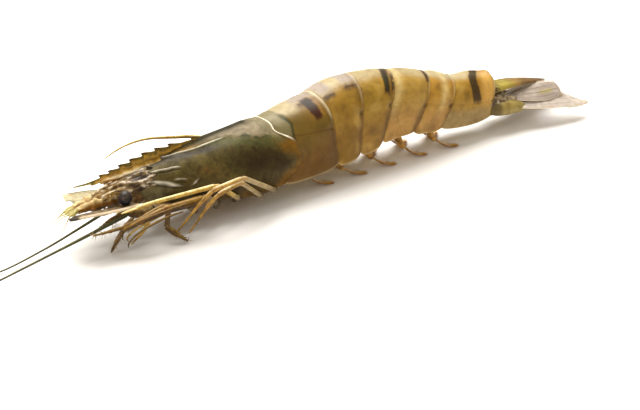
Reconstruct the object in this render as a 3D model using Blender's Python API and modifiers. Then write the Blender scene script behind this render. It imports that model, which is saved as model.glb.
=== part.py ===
"""Raw tiger prawn, whole, lying on its legs, swimmerets and tail fan.

Metres, +Z up. The head points to -X and the tail to +X, and the origin is at the
bottom centre of the prawn's box. Sizes below are in millimetres and are turned to
metres by MM. The body is drawn in its own upright frame (x along the body, a across
it with the left side negative, h up from the ground) and then leans to its right.
"""
import math

import bmesh
import bpy
import numpy as np
from mathutils import Vector

MM = 0.001
LEAN = math.radians(12.0)            # the body leans to its right about the ground line
BOX_CENTRE = (0.8, 2.95)             # x and y of the box's centre before the shift, mm

GAP = 0.4                            # clear space kept between neighbouring pieces, mm
SHELL = 1.2                          # thickness of a shell's rear lip, mm
CUP_DEPTH = 3.0                      # how far a segment slides into the one before it
FLAP = 1.3                           # thickness of the side plates that hang down
BELLY_RISE = 3.4                     # the belly is this far above the side plates' edge

# Body stations along the hinge line (its widest level): x, height of the hinge line,
# crest above it, half-width, side plate depth below it.
STATIONS = np.array([
    (-54.0, 17.6, 5.0, 4.9, 4.2),
    (-49.0, 17.0, 7.0, 7.0, 5.0),
    (-44.0, 16.4, 8.2, 8.4, 5.6),
    (-34.0, 15.5, 10.4, 10.6, 6.6),
    (-22.0, 15.2, 12.4, 12.0, 7.6),
    (-10.0, 15.6, 13.3, 12.7, 9.4),
    (0.0, 16.4, 13.9, 12.8, 10.4),
    (7.0, 17.6, 13.6, 12.7, 10.2),
    (15.0, 20.3, 12.2, 12.5, 13.4),
    (23.0, 22.6, 11.6, 12.4, 16.2),
    (29.5, 23.8, 12.3, 12.2, 16.7),
    (36.0, 24.5, 12.2, 12.1, 16.8),
    (42.6, 24.7, 11.6, 11.9, 16.3),
    (49.3, 24.4, 11.2, 11.6, 15.4),
    (57.5, 22.6, 11.6, 11.0, 13.4),
    (65.7, 19.8, 12.0, 10.2, 11.6),
    (78.1, 16.4, 10.8, 8.8, 9.6),
    (90.0, 13.9, 11.1, 7.5, 8.0),
    (102.0, 12.7, 9.8, 6.2, 6.0),
])

# Edges of the plates: where the hinge is, how far the edge runs back at the crest, how
# far it sweeps at the foot of the side plate, and the power that it gets there by.
CARAPACE_FRONT = (-54.0, -2.0, 0.5, 1.0)
CARAPACE_REAR = (7.0, -4.2, -10.0, 3.0)
SEGMENT_REAR = [
    (23.0, 1.3, -2.4, 0.8),
    (36.0, 3.6, -2.8, 0.8),
    (49.3, 4.4, -2.8, 0.8),
    (65.7, 2.4, -3.2, 0.8),
    (78.1, 2.8, -3.2, 0.8),
    (102.0, 2.4, -1.0, 1.5),
]

ROSTRUM_TEETH = (-65.4, -61.6, -57.5, -53.1, -48.1, -42.9, -37.4, -28.2)
ROSTRUM_THICK = 1.7
TOOTH_RISE = 0.9
CARAPACE_RINGS = 9

COLLECTION = "raw_tiger_prawn"
COLOURS = {
    "carapace_shell": ((0.08, 0.08, 0.045), 0.3),
    "abdomen_shell": ((0.42, 0.33, 0.14), 0.3),
    "tail_fan": ((0.32, 0.28, 0.26), 0.35),
    "eye_cornea": ((0.02, 0.015, 0.025), 0.12),
    "limb_shell": ((0.55, 0.38, 0.16), 0.35),
    "antenna": ((0.09, 0.1, 0.06), 0.35),
    "swimmeret": ((0.5, 0.36, 0.2), 0.4),
}


def clear_scene():
    for old in list(bpy.data.objects):
        bpy.data.objects.remove(old, do_unlink=True)


def material(name):
    colour, roughness = COLOURS[name]
    made = bpy.data.materials.get(name) or bpy.data.materials.new(name)
    made.use_nodes = True
    shader = made.node_tree.nodes["Principled BSDF"]
    shader.inputs["Base Color"].default_value = (*colour, 1.0)
    shader.inputs["Roughness"].default_value = roughness
    shader.inputs["Metallic"].default_value = 0.0
    return made


def world(x, y, z):
    """A point given over the ground, in mm, moved to the part's origin, in metres."""
    return Vector((x - BOX_CENTRE[0], y - BOX_CENTRE[1], z)) * MM


def body(x, a, h):
    """A point of the upright body frame, leaned over the ground line."""
    y = a * math.cos(LEAN) + h * math.sin(LEAN)
    z = h * math.cos(LEAN) - a * math.sin(LEAN)
    return world(x, y, z)


def over_ground(a, h):
    """The height and sideways place over the ground of a point of the body frame."""
    return (a * math.cos(LEAN) + h * math.sin(LEAN), h * math.cos(LEAN) - a * math.sin(LEAN))


def add_object(name, data, slot, flat=False):
    made = bpy.data.objects.new(name, data)
    bpy.data.collections[COLLECTION].objects.link(made)
    made.data.materials.append(material(slot))
    if not flat and isinstance(data, bpy.types.Mesh):
        data.shade_smooth()
        data.set_sharp_from_angle(angle=math.radians(50.0))
    return made


def loft(name, rings, slot):
    """Skin a closed solid over rings of equal length, with a fan over each end."""
    mesh = bmesh.new()
    rows = [[mesh.verts.new(point) for point in ring] for ring in rings]
    for near, far in zip(rows, rows[1:]):
        for k in range(len(near)):
            j = (k + 1) % len(near)
            mesh.faces.new((near[k], near[j], far[j], far[k]))
    for row, turn in ((rows[0], -1), (rows[-1], 1)):
        middle = sum((v.co for v in row), Vector()) / len(row)
        hub = mesh.verts.new(middle)
        for k in range(len(row)):
            pair = (row[k], row[(k + 1) % len(row)])[::turn]
            mesh.faces.new((*pair, hub))
    bmesh.ops.recalc_face_normals(mesh, faces=mesh.faces)
    data = bpy.data.meshes.new(name)
    mesh.to_mesh(data)
    mesh.free()
    return add_object(name, data, slot)


def through(points, steps):
    """A smooth Catmull-Rom run through points, with the given steps in each span."""
    knots = np.array(points, dtype=float)
    knots = np.vstack([2 * knots[0] - knots[1], knots, 2 * knots[-1] - knots[-2]])
    run = []
    for k in range(1, len(knots) - 2):
        before, start, end, after = knots[k - 1:k + 3]
        for u in np.arange(steps) / steps:
            run.append(0.5 * (2 * start + (end - before) * u
                              + (2 * before - 5 * start + 4 * end - after) * u ** 2
                              + (3 * start - before - 3 * end + after) * u ** 3))
    run.append(knots[-2])
    return np.array(run)


def tube(name, points, slot, steps=3, rings=2):
    """A tapering round limb: each point is x, y, z over the ground and a radius, in mm."""
    run = through(points, steps)
    curve = bpy.data.curves.new(name, "CURVE")
    curve.dimensions = "3D"
    curve.fill_mode = "FULL"
    curve.bevel_depth = MM
    curve.bevel_resolution = rings
    curve.use_fill_caps = True
    line = curve.splines.new("POLY")
    line.points.add(len(run) - 1)
    for point, (x, y, z, radius) in zip(line.points, run):
        point.co = (*world(x, y, z), 1.0)
        point.radius = max(radius, 0.15)
    return add_object(name, curve, slot)


# --- The body's shell: one surface that the carapace and all six segments share

SMOOTH = through(STATIONS, 6)
CREST_STEPS = 5                      # ring points from the crest to the hinge line
SIDE_STEPS = 3                       # and from there down the side plate


def station(s):
    """Hinge height, crest, half-width and side depth at s, by a smooth run."""
    return [float(np.interp(s, SMOOTH[:, 0], SMOOTH[:, k])) for k in range(1, 5)]


def tilt(s):
    """The slope of the hinge line at s, as an angle."""
    rise = station(s + 4.0)[0] - station(s - 4.0)[0]
    return math.atan2(rise, 8.0)


def edge_offset(edge, turn, drop):
    """How far back an edge runs at an angle from the crest, or down the side plate."""
    _, crest, sweep, power = edge
    if drop > 0.0:
        return sweep * drop ** power
    return crest * math.cos(turn)


def shell_ring(s, edge, inset=0.0, flaps=True):
    """The body's section at s: over the crest, down both sides and back by the belly."""
    hinge_height, crest, half, depth = station(s)
    lean = tilt(s)
    rise = BELLY_RISE

    def at(a, up, back):
        return body(s + back * math.cos(lean) - up * math.sin(lean), a,
                    hinge_height + up * math.cos(lean) + back * math.sin(lean))

    left = []
    for k in range(1, SIDE_STEPS + 1):
        drop = k / SIDE_STEPS
        reach = depth if flaps else depth - rise - inset
        width = half * (1.0 - 0.14 * drop ** 2) - inset
        left.append((width, -reach * drop, edge_offset(edge, 0.0, drop)))
    last_width, last_up, last_back = left[-1]
    belly_up = -depth + rise + inset
    inner = last_width - (FLAP if flaps else 0.3)
    under = [
        (inner, last_up + (0.0 if flaps else 0.1), last_back),
        (inner - 0.8, belly_up + 0.3, last_back),
        (0.5 * inner, belly_up - 0.1, last_back),
    ]
    over = []
    for k in range(-CREST_STEPS, CREST_STEPS + 1):
        turn = 0.5 * math.pi * k / CREST_STEPS
        a = (half - inset) * math.sin(turn)
        up = (crest - inset) * max(math.cos(turn), 0.0) ** 0.92
        over.append((a, up, edge_offset(edge, turn, 0.0)))
    ring = [at(-a, up, back) for a, up, back in reversed(left)]
    ring += [at(a, up, back) for a, up, back in over]
    ring += [at(a, up, back) for a, up, back in left]
    ring += [at(a, up, back) for a, up, back in under]
    ring.append(at(0.0, belly_up - 0.3, last_back))
    ring += [at(-a, up, back) for a, up, back in reversed(under)]
    return ring


def plug_rings(front):
    """The front of a segment: a plug inside the lip before it, then a step outwards."""
    start = front[0]
    return [
        shell_ring(start - CUP_DEPTH + GAP, front, SHELL + GAP, flaps=False),
        shell_ring(start + GAP, front, SHELL + GAP, flaps=False),
        shell_ring(start + GAP, front, 0.7),
    ]


def plate_rings(front, rear, shares):
    """The plate itself, whose rings turn from the front edge's line to the rear one's."""
    rings = []
    for share in shares:
        mixed = tuple(f + (r - f) * share for f, r in zip(front, rear))
        rings.append(shell_ring(mixed[0], mixed))
    return rings + [shell_ring(rear[0], rear)]


def cup_rings(rear):
    """The rear of a segment: a thin lip round the hollow that takes the next plug."""
    return [
        shell_ring(rear[0], rear, SHELL, flaps=False),
        shell_ring(rear[0] - CUP_DEPTH, rear, SHELL, flaps=False),
    ]


def make_abdomen():
    """Six segments. The last has no cup, because the tail is hung on its rear face."""
    edges = [CARAPACE_REAR] + SEGMENT_REAR
    for number, (front, rear) in enumerate(zip(edges, edges[1:]), start=1):
        shares = (0.22, 0.44, 0.66, 0.86) if number in (1, 6) else (0.3, 0.6, 0.85)
        rings = plug_rings(front) + plate_rings(front, rear, shares)
        if number < len(SEGMENT_REAR):
            rings += cup_rings(rear)
        loft(f"abdomen_{number}", rings, "abdomen_shell")


# --- Carapace with its toothed rostrum

def rostrum_blade():
    """The blade's outline: a toothed upper edge from the crest to the tip."""
    crest_run = through([(-80.0, 22.7), (-76.1, 23.1), (-70.0, 23.2), (-62.0, 24.3),
                         (-53.4, 26.3), (-46.0, 27.7), (-37.8, 28.2), (-28.0, 28.4),
                         (-15.0, 29.0)], 8)

    def crest(x):
        return float(np.interp(x, crest_run[:, 0], crest_run[:, 1]))

    upper = [(-77.4, 23.1)]
    for tooth in ROSTRUM_TEETH:
        upper.append((tooth - 0.5, crest(tooth - 0.5)))
        upper.append((tooth - 0.9, crest(tooth - 0.9) + TOOTH_RISE))
        upper.append((tooth + 2.4, crest(tooth + 2.4) + 0.1))
    upper.append((-16.0, 27.5))
    lower = [(-16.0, 24.0), (-44.0, 20.4), (-56.0, 20.9), (-60.6, 20.9), (-62.8, 21.6),
             (-65.6, 21.1), (-66.2, 21.9), (-69.2, 21.6), (-69.6, 22.2), (-74.0, 22.5)]
    upper.sort(key=lambda point: point[0])
    curve = bpy.data.curves.new("rostrum", "CURVE")
    curve.dimensions = "2D"
    curve.fill_mode = "BOTH"
    curve.extrude = 0.5 * ROSTRUM_THICK
    line = curve.splines.new("POLY")
    outline = upper + lower
    line.points.add(len(outline) - 1)
    for point, (x, h) in zip(line.points, outline):
        point.co = (x, h, 0.0, 1.0)
    line.use_cyclic_u = True
    flat = bpy.data.objects.new("rostrum_flat", curve)
    bpy.data.collections[COLLECTION].objects.link(flat)
    bpy.context.view_layer.update()
    evaluated = flat.evaluated_get(bpy.context.evaluated_depsgraph_get())
    data = bpy.data.meshes.new_from_object(evaluated)
    bpy.data.objects.remove(flat, do_unlink=True)
    mesh = bmesh.new()
    mesh.from_mesh(data)
    bmesh.ops.remove_doubles(mesh, verts=mesh.verts, dist=0.01)
    for vert in mesh.verts:
        x, h, side = vert.co
        taper = 0.35 + 0.65 * min(1.0, max(0.0, (x + 78.0) / 40.0))
        taper *= 0.55 if h > crest(x) - 0.5 else 1.0
        vert.co = body(x, side * taper, h)
    bmesh.ops.recalc_face_normals(mesh, faces=mesh.faces)
    mesh.to_mesh(data)
    mesh.free()
    return data


def make_carapace():
    shares = [k / CARAPACE_RINGS for k in range(CARAPACE_RINGS)]
    rings = plate_rings(CARAPACE_FRONT, CARAPACE_REAR, shares) + cup_rings(CARAPACE_REAR)
    shell = loft("carapace", rings, "carapace_shell")
    blade = bpy.data.objects.new("rostrum_guide", rostrum_blade())
    guides = bpy.data.collections.new("guides")
    bpy.context.scene.collection.children.link(guides)
    guides.objects.link(blade)
    blade.hide_render = True
    blade.display_type = "WIRE"
    union = shell.modifiers.new("rostrum", "BOOLEAN")
    union.operation = "UNION"
    union.solver = "EXACT"
    union.object = blade


# --- Head: the block under the rostrum, the eyes, antennules, antennae and scales

def oval_ring(centre, half_a, half_h, count=10):
    """An upright oval across the body, in the body frame."""
    x, a, h = centre
    turns = [2.0 * math.pi * k / count for k in range(count)]
    return [body(x, a + half_a * math.cos(t), h + half_h * math.sin(t)) for t in turns]


def make_head():
    rings = [((-56.2, 0.0, 15.2), 4.3, 3.6), ((-58.2, 0.0, 15.3), 4.1, 3.4),
             ((-60.4, 0.0, 15.3), 3.6, 2.8), ((-62.0, 0.0, 15.3), 2.9, 2.0)]
    loft("head", [oval_ring(*ring) for ring in rings], "carapace_shell")
    rings = [((-49.5, 0.0, 10.8), 3.2, 1.2), ((-46.0, 0.0, 9.9), 4.8, 2.0),
             ((-40.0, 0.0, 9.1), 5.8, 2.0), ((-30.0, 0.0, 7.9), 6.6, 2.3),
             ((-20.0, 0.0, 7.1), 7.0, 1.9), ((-11.0, 0.0, 6.3), 6.8, 1.2),
             ((-6.0, 0.0, 5.6), 5.8, 0.7)]
    loft("thorax_underside", [oval_ring(*ring) for ring in rings], "limb_shell")


EYES = {"left": ((-58.4, -4.9, 16.2), (-60.9, -7.6, 16.5)),
        "right": ((-57.8, 5.0, 17.0), (-58.8, 7.9, 18.7))}


def make_eye(name, stem, middle):
    """A short stalk that swells into the round cornea, turned about its own axis."""
    stem = body(*stem)
    middle = body(*middle)
    axis = (middle - stem).normalized()
    reach = (middle - stem).length / MM
    ball = 2.35
    profile = [(0.0, 0.0), (1.1, 0.0), (1.2, 0.35 * reach)]
    start = math.asin(1.3 / ball)
    for k in range(6):
        turn = start + (math.pi - start) * k / 5
        profile.append((max(ball * math.sin(turn), 0.0), reach - ball * math.cos(turn)))
    profile[-1] = (0.0, reach + ball)
    mesh = bmesh.new()
    verts = [mesh.verts.new((r * MM, 0.0, z * MM)) for r, z in reversed(profile)]
    for near, far in zip(verts, verts[1:]):
        mesh.edges.new((near, far))
    data = bpy.data.meshes.new(name)
    mesh.to_mesh(data)
    mesh.free()
    made = add_object(name, data, "eye_cornea", flat=True)
    screw = made.modifiers.new("turned", "SCREW")
    screw.steps = 12
    screw.render_steps = 12
    screw.use_merge_vertices = True
    screw.merge_threshold = 0.0001
    screw.use_normal_calculate = True
    made.rotation_mode = "QUATERNION"
    made.rotation_quaternion = axis.to_track_quat("Z", "Y")
    made.location = stem


def leaf(name, spine, slot):
    """A thin plate along a spine: x, a, h, half-width, thickness and bank in degrees."""
    rings = []
    for x, a, h, half, thick, bank in spine:
        turn = math.radians(bank)
        ring = []
        for across, through_plate in ((-1.0, 0.0), (-0.5, 0.5), (0.5, 0.5), (1.0, 0.0),
                                      (0.5, -0.5), (-0.5, -0.5)):
            wide, high = across * half, through_plate * thick
            ring.append(body(x, a + wide * math.cos(turn) - high * math.sin(turn),
                             h + wide * math.sin(turn) + high * math.cos(turn)))
        rings.append(ring)
    loft(name, rings, slot)


def make_feelers():
    leaf("antennal_scale_left", [
        (-57.0, -8.6, 13.3, 1.8, 1.0, -3.0), (-63.0, -8.6, 13.6, 3.2, 1.0, -3.0),
        (-70.0, -8.0, 13.9, 3.5, 1.0, -3.0), (-77.0, -7.0, 14.1, 2.9, 0.9, -3.0),
        (-81.4, -6.4, 14.0, 1.4, 0.7, -3.0)], "limb_shell")
    leaf("antennal_scale_right", [
        (-57.0, 8.5, 13.6, 2.0, 0.8, 26.0), (-61.0, 7.6, 14.3, 3.2, 0.8, 36.0),
        (-67.5, 6.7, 15.2, 3.6, 0.8, 42.0), (-72.5, 5.9, 16.2, 3.4, 0.7, 44.0),
        (-76.4, 5.4, 16.9, 2.6, 0.6, 45.0)], "limb_shell")
    for name, side in (("left", -1.0), ("right", 1.0)):
        make_eye(f"eye_{name}", *EYES[name])
        y, z = over_ground(side * 2.1, 15.4)
        tube(f"antennule_{name}", [(-62.8, y, z, 1.9), (-67.5, y, z, 1.9),
                                   (-72.5, y, z, 1.6), (-79.0, y, z - 0.6, 1.0)],
             "limb_shell", steps=2)
    y, z = over_ground(-8.0, 10.5)
    tube("antenna_base_left", [(-54.6, y, z, 1.7), (-57.5, y, z, 1.9), (-59.6, y, z + 0.4, 1.3)],
         "limb_shell", steps=2)
    y, z = over_ground(6.0, 9.8)
    tube("antenna_base_right", [(-54.6, y, z, 1.6), (-59.0, y, z, 1.6),
                                (-66.4, 2.2, 10.6, 0.8)], "limb_shell", steps=2)
    tube("antenna_left", [(-60.6, -6.4, 12.9, 0.75), (-75.0, -7.2, 10.0, 0.55),
                          (-95.0, -8.1, 6.3, 0.42), (-112.0, -8.8, 3.2, 0.35),
                          (-128.0, -9.8, 1.0, 0.28), (-142.0, -9.6, 0.4, 0.2)], "antenna", rings=1)
    tube("antenna_right", [(-67.4, 2.0, 10.6, 0.55), (-77.0, 2.1, 7.3, 0.45),
                           (-90.0, 1.8, 3.6, 0.38), (-107.0, 0.6, 0.8, 0.32),
                           (-121.0, 2.0, 0.4, 0.26), (-134.0, 6.5, 0.4, 0.2)], "antenna", rings=1)


# --- Walking legs and the third maxillipeds

# Each limb's route from its hip to its tip: x, y, z over the ground and a radius.
LIMBS = {
    "maxilliped_left": [
        (-41.0, -2.6, 7.4, 1.0), (-46.0, -5.8, 9.2, 1.0), (-52.0, -8.8, 10.4, 1.0),
        (-58.5, -10.2, 9.6, 0.85), (-65.4, -10.0, 9.6, 0.7), (-71.8, -10.7, 10.6, 0.6),
        (-77.0, -11.0, 11.0, 0.35)],
    "maxilliped_right": [
        (-41.0, 3.0, 5.8, 1.0), (-48.0, 5.0, 6.8, 0.9), (-56.0, 5.0, 7.4, 0.8),
        (-64.0, 3.6, 6.4, 0.7), (-70.0, 2.6, 4.0, 0.35)],
    "leg_1_left": [
        (-33.0, -3.4, 4.4, 1.2), (-38.0, -7.0, 9.5, 1.2), (-44.0, -9.2, 11.4, 1.05),
        (-47.5, -9.9, 12.0, 1.0), (-49.0, -10.3, 9.6, 1.0), (-48.8, -10.9, 5.8, 1.0),
        (-46.8, -12.4, 3.4, 0.8), (-43.0, -15.4, 0.45, 0.4)],
    "leg_2_left": [
        (-25.0, -3.6, 4.0, 1.2), (-28.0, -8.6, 6.6, 1.1), (-36.0, -12.2, 12.4, 1.1),
        (-50.4, -13.2, 13.7, 1.1), (-60.4, -12.8, 11.9, 1.0), (-65.9, -11.6, 9.8, 0.85),
        (-67.6, -10.2, 5.4, 0.8), (-69.4, -8.0, 0.45, 0.4)],
    "leg_3_left": [
        (-18.0, -3.6, 3.4, 1.2), (-18.8, -9.0, 4.8, 1.1), (-21.6, -13.2, 10.2, 1.05),
        (-29.0, -14.4, 17.8, 1.05), (-42.3, -13.9, 18.4, 1.0), (-54.7, -13.1, 18.3, 0.9),
        (-61.5, -12.7, 17.9, 0.7), (-66.8, -12.0, 16.9, 0.4)],
    "leg_4_left": [
        (-9.0, -3.6, 3.1, 1.3), (-8.4, -7.6, 5.0, 1.2), (-11.8, -12.8, 8.6, 1.1),
        (-17.4, -15.8, 14.2, 1.1), (-23.4, -18.4, 19.0, 1.0), (-31.1, -17.5, 16.9, 0.95),
        (-35.4, -14.3, 10.6, 0.75), (-40.2, -10.6, 0.4, 0.35)],
    "leg_5_left": [
        (-3.4, -3.6, 3.1, 1.2), (-3.2, -8.8, 4.0, 1.05), (-5.6, -14.2, 8.6, 1.1),
        (-14.0, -17.4, 16.0, 1.05), (-23.4, -20.2, 21.6, 1.0), (-33.9, -18.6, 19.8, 0.95),
        (-39.0, -14.8, 12.6, 0.75), (-44.6, -8.6, 0.4, 0.35)],
    "leg_1_right": [
        (-33.0, 4.8, 2.8, 1.2), (-38.5, 8.0, 4.4, 1.1), (-46.0, 8.6, 6.2, 0.9),
        (-54.0, 7.2, 4.2, 0.7), (-58.4, 5.0, 0.4, 0.35)],
    "leg_2_right": [
        (-25.0, 5.0, 2.4, 1.2), (-28.0, 10.6, 2.7, 1.1), (-31.5, 15.4, 5.2, 1.0),
        (-41.0, 16.8, 10.4, 0.9), (-51.0, 14.2, 7.2, 0.75), (-60.0, 9.6, 0.4, 0.35)],
    "leg_3_right": [
        (-18.0, 5.0, 2.0, 1.2), (-18.0, 11.6, 1.9, 1.0), (-15.6, 17.8, 6.4, 0.95),
        (-14.6, 19.4, 14.8, 0.9), (-16.0, 18.6, 20.6, 0.85), (-20.4, 16.8, 24.4, 0.75),
        (-30.5, 14.9, 26.7, 0.62), (-41.3, 14.2, 28.2, 0.5), (-53.0, 14.0, 27.2, 0.42),
        (-60.8, 12.4, 25.3, 0.28)],
    "leg_4_right": [
        (-11.0, 5.0, 1.9, 1.2), (-11.8, 11.6, 1.3, 0.9), (-16.4, 17.8, 3.4, 0.95),
        (-26.0, 21.2, 9.0, 0.9), (-36.0, 20.6, 7.2, 0.7), (-46.0, 17.6, 0.4, 0.35)],
    "leg_5_right": [
        (-4.0, 5.0, 1.9, 1.2), (-4.6, 11.4, 1.1, 0.8), (-7.6, 17.8, 2.2, 0.9),
        (-14.4, 23.4, 6.4, 0.9), (-24.0, 26.0, 9.4, 0.8), (-33.5, 25.0, 5.6, 0.65),
        (-41.0, 22.0, 0.4, 0.35)],
}


def make_limbs():
    for name, route in LIMBS.items():
        tube(name, route, "limb_shell", steps=2)


# --- Swimmerets, telson and uropods

SWIMMERET_AT = (12.0, 27.0, 40.5, 55.0, 69.5)


def make_swimmerets():
    """Each is a stout base under its segment and a blade swept back to the ground."""
    for number, s in enumerate(SWIMMERET_AT, start=1):
        hinge_height, _, _, depth = station(s)
        belly = hinge_height - depth + BELLY_RISE
        for side, word in ((-1.0, "left"), (1.0, "right")):
            y, top = over_ground(side * 4.2, belly - 2.7)
            low = 0.4
            rings = []
            for along, outward, share, half, thick in (
                    (0.0, 0.0, 1.0, 1.9, 1.0), (1.2, 0.6, 0.55, 2.0, 1.1),
                    (3.6, 1.2, 0.2, 2.0, 0.9), (7.5, 1.5, 0.04, 2.0, 0.6),
                    (11.5, 1.6, 0.0, 1.1, 0.4)):
                z = low + (top - low) * share
                steep = min(1.0, 1.4 * share)
                ring = []
                for k in range(8):
                    turn = math.pi * k / 4
                    lift = thick * math.sin(turn)
                    ring.append(world(s + along + lift * steep,
                                      y + side * outward + half * math.cos(turn),
                                      z + max(lift * (1.0 - 0.6 * steep), -z)))
                rings.append(ring)
            loft(f"swimmeret_{number}_{word}", rings, "swimmeret")


def make_tail():
    telson = [(105.6, 16.2, 4.7, 4.2), (112.0, 16.0, 4.3, 3.6), (120.0, 15.2, 3.0, 2.6),
              (127.0, 14.0, 1.3, 1.4), (129.6, 13.6, 0.4, 0.6)]
    loft("telson", [oval_ring((x, 0.0, h), half, 0.5 * thick)
                    for x, h, half, thick in telson], "tail_fan")
    for side, word in ((-1.0, "left"), (1.0, "right")):
        raised = 0.9 if side > 0.0 else 0.0
        rings = [((103.0, side * 4.4, 9.2), 1.7, 2.2), ((106.0, side * 5.0, 9.0), 2.4, 2.2),
                 ((109.4, side * 5.6, 8.8), 2.0, 1.4)]
        loft(f"uropod_base_{word}", [oval_ring(*ring) for ring in rings], "tail_fan")
        leaf(f"uropod_inner_{word}", [
            (108.6, side * 3.4, 11.5, 1.3, 1.0, -side * 28.0),
            (116.0, side * 4.8, 11.3, 3.3, 0.9, -side * 34.0),
            (123.5, side * 5.6, 11.0, 4.2, 0.8, -side * 46.0),
            (129.0, side * 5.4, 10.7, 3.8, 0.7, -side * 48.0),
            (133.4, side * 5.1, 10.4, 1.9, 0.5, -side * 48.0)], "tail_fan")
        leaf(f"uropod_outer_{word}", [
            (110.4, side * 6.0, 8.6, 1.6, 1.0, -side * 27.0),
            (118.0, side * 6.8, 8.0, 3.8, 0.9, -side * 28.0),
            (127.0, side * 7.7, 7.2 + 0.3 * raised, 4.9, 0.8, -side * 30.0),
            (133.5, side * 8.1, 6.2 + raised, 5.0, 0.7, -side * 30.0),
            (138.5, side * 8.7, 4.9 + raised, 3.4, 0.6, -side * 28.0),
            (143.6, side * 9.3, 3.3 + raised, 0.8, 0.4, -side * 25.0)], "tail_fan")


def main():
    clear_scene()
    home = bpy.data.collections.new(COLLECTION)
    bpy.context.scene.collection.children.link(home)
    make_abdomen()
    make_carapace()
    make_head()
    make_feelers()
    make_limbs()
    make_swimmerets()
    make_tail()


main()
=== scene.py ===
"""Raw tiger prawn, whole: the looks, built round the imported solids.

Sizes are in millimetres over the ground, as the solids are designed, and MM turns them to
metres. The head points to -X, the tail to +X, and the body leans to its right.
"""
import math

import bpy
import numpy as np
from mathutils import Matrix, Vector, noise


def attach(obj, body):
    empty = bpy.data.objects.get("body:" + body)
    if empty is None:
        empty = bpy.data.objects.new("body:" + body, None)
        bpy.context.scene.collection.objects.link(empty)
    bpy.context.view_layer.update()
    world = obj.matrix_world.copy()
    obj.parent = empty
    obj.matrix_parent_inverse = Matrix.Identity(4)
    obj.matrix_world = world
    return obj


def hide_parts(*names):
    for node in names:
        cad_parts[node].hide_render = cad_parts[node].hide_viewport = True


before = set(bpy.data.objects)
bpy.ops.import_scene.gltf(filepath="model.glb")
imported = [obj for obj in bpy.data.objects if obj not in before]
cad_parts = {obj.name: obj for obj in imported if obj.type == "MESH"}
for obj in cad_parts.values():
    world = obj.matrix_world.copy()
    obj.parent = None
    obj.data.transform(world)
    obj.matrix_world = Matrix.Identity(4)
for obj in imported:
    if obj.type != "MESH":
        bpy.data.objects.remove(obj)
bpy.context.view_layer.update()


# --- Abdomen: six rings of thin, hard shell that slide into each other. Each ring is one
# plate that goes from the foot of its left side flap over the back to the right one. Its
# rear rim lies over the front of the next ring, and the two are hinged at mid height.

MM = 0.001
LEAN = math.radians(12.0)
MIDDLE = (0.8, 2.95)                 # the ground point that the solids are centred on
HINGE = 0.6                          # the hinge's share of the way from crest to foot

# Along the hinge line: x, its height, crest above it, half-width, side flap below it.
STATIONS = [
    (-54.0, 17.6, 5.0, 4.9, 4.2), (-49.0, 17.0, 7.0, 7.0, 5.0), (-44.0, 16.4, 8.2, 8.4, 5.6),
    (-34.0, 15.5, 10.4, 10.6, 6.6), (-22.0, 15.2, 12.4, 12.0, 7.6),
    (-10.0, 15.6, 13.3, 12.7, 9.4), (0.0, 16.4, 13.9, 12.8, 10.4),
    (7.0, 17.6, 13.6, 12.7, 10.2), (15.0, 20.3, 12.2, 12.5, 13.4),
    (23.0, 22.6, 11.6, 12.4, 16.2), (29.5, 23.8, 12.3, 12.2, 16.7),
    (36.0, 24.5, 12.2, 12.1, 16.8), (42.6, 24.7, 11.6, 11.9, 16.3),
    (49.3, 24.4, 11.2, 11.6, 15.4), (57.5, 22.6, 11.6, 11.0, 13.4),
    (65.7, 19.8, 12.0, 10.2, 11.6), (78.1, 16.4, 10.8, 8.8, 9.6),
    (90.0, 13.9, 11.1, 7.5, 8.0), (102.0, 12.7, 9.8, 6.2, 6.0),
]
# A plate's edge: hinge x, how far back it runs at the crest, its sweep at the foot of the
# side flap, and the power that it gets there by.
CARAPACE_FRONT = (-54.0, -2.0, 0.5, 1.0)
CARAPACE_REAR = (7.0, -4.2, -10.0, 3.0)
RING_EDGES = [CARAPACE_REAR, (23.0, 1.3, -2.4, 0.8), (36.0, 3.6, -2.8, 0.8),
              (49.3, 4.4, -2.8, 0.8), (65.7, 2.4, -3.2, 0.8), (78.1, 2.8, -3.2, 0.8),
              (100.0, 2.2, -1.0, 1.5)]
SHELL_THICK = 0.45


def smooth_run(points, steps):
    """A Catmull-Rom run through points, with the given steps in each span."""
    knots = np.array(points, dtype=float)
    knots = np.vstack([2 * knots[0] - knots[1], knots, 2 * knots[-1] - knots[-2]])
    run = []
    for k in range(1, len(knots) - 2):
        before, start, end, after = knots[k - 1:k + 3]
        for u in np.arange(steps) / steps:
            run.append(0.5 * (2 * start + (end - before) * u
                              + (2 * before - 5 * start + 4 * end - after) * u ** 2
                              + (3 * start - before - 3 * end + after) * u ** 3))
    run.append(knots[-2])
    return np.array(run)


RUN = smooth_run(STATIONS, 6)


def over_ground(x, y, z):
    """Points given in mm over the ground, in metres in the solids' own frame."""
    x, y, z = np.broadcast_arrays(x, y, z)
    return np.stack([x - MIDDLE[0], y - MIDDLE[1], z], axis=-1) * MM


def leaned(x, a, h):
    """Points of the upright body (a across it, h up), leaned over the ground."""
    across = a * math.cos(LEAN) + h * math.sin(LEAN)
    return over_ground(x, across, h * math.cos(LEAN) - a * math.sin(LEAN))


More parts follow.
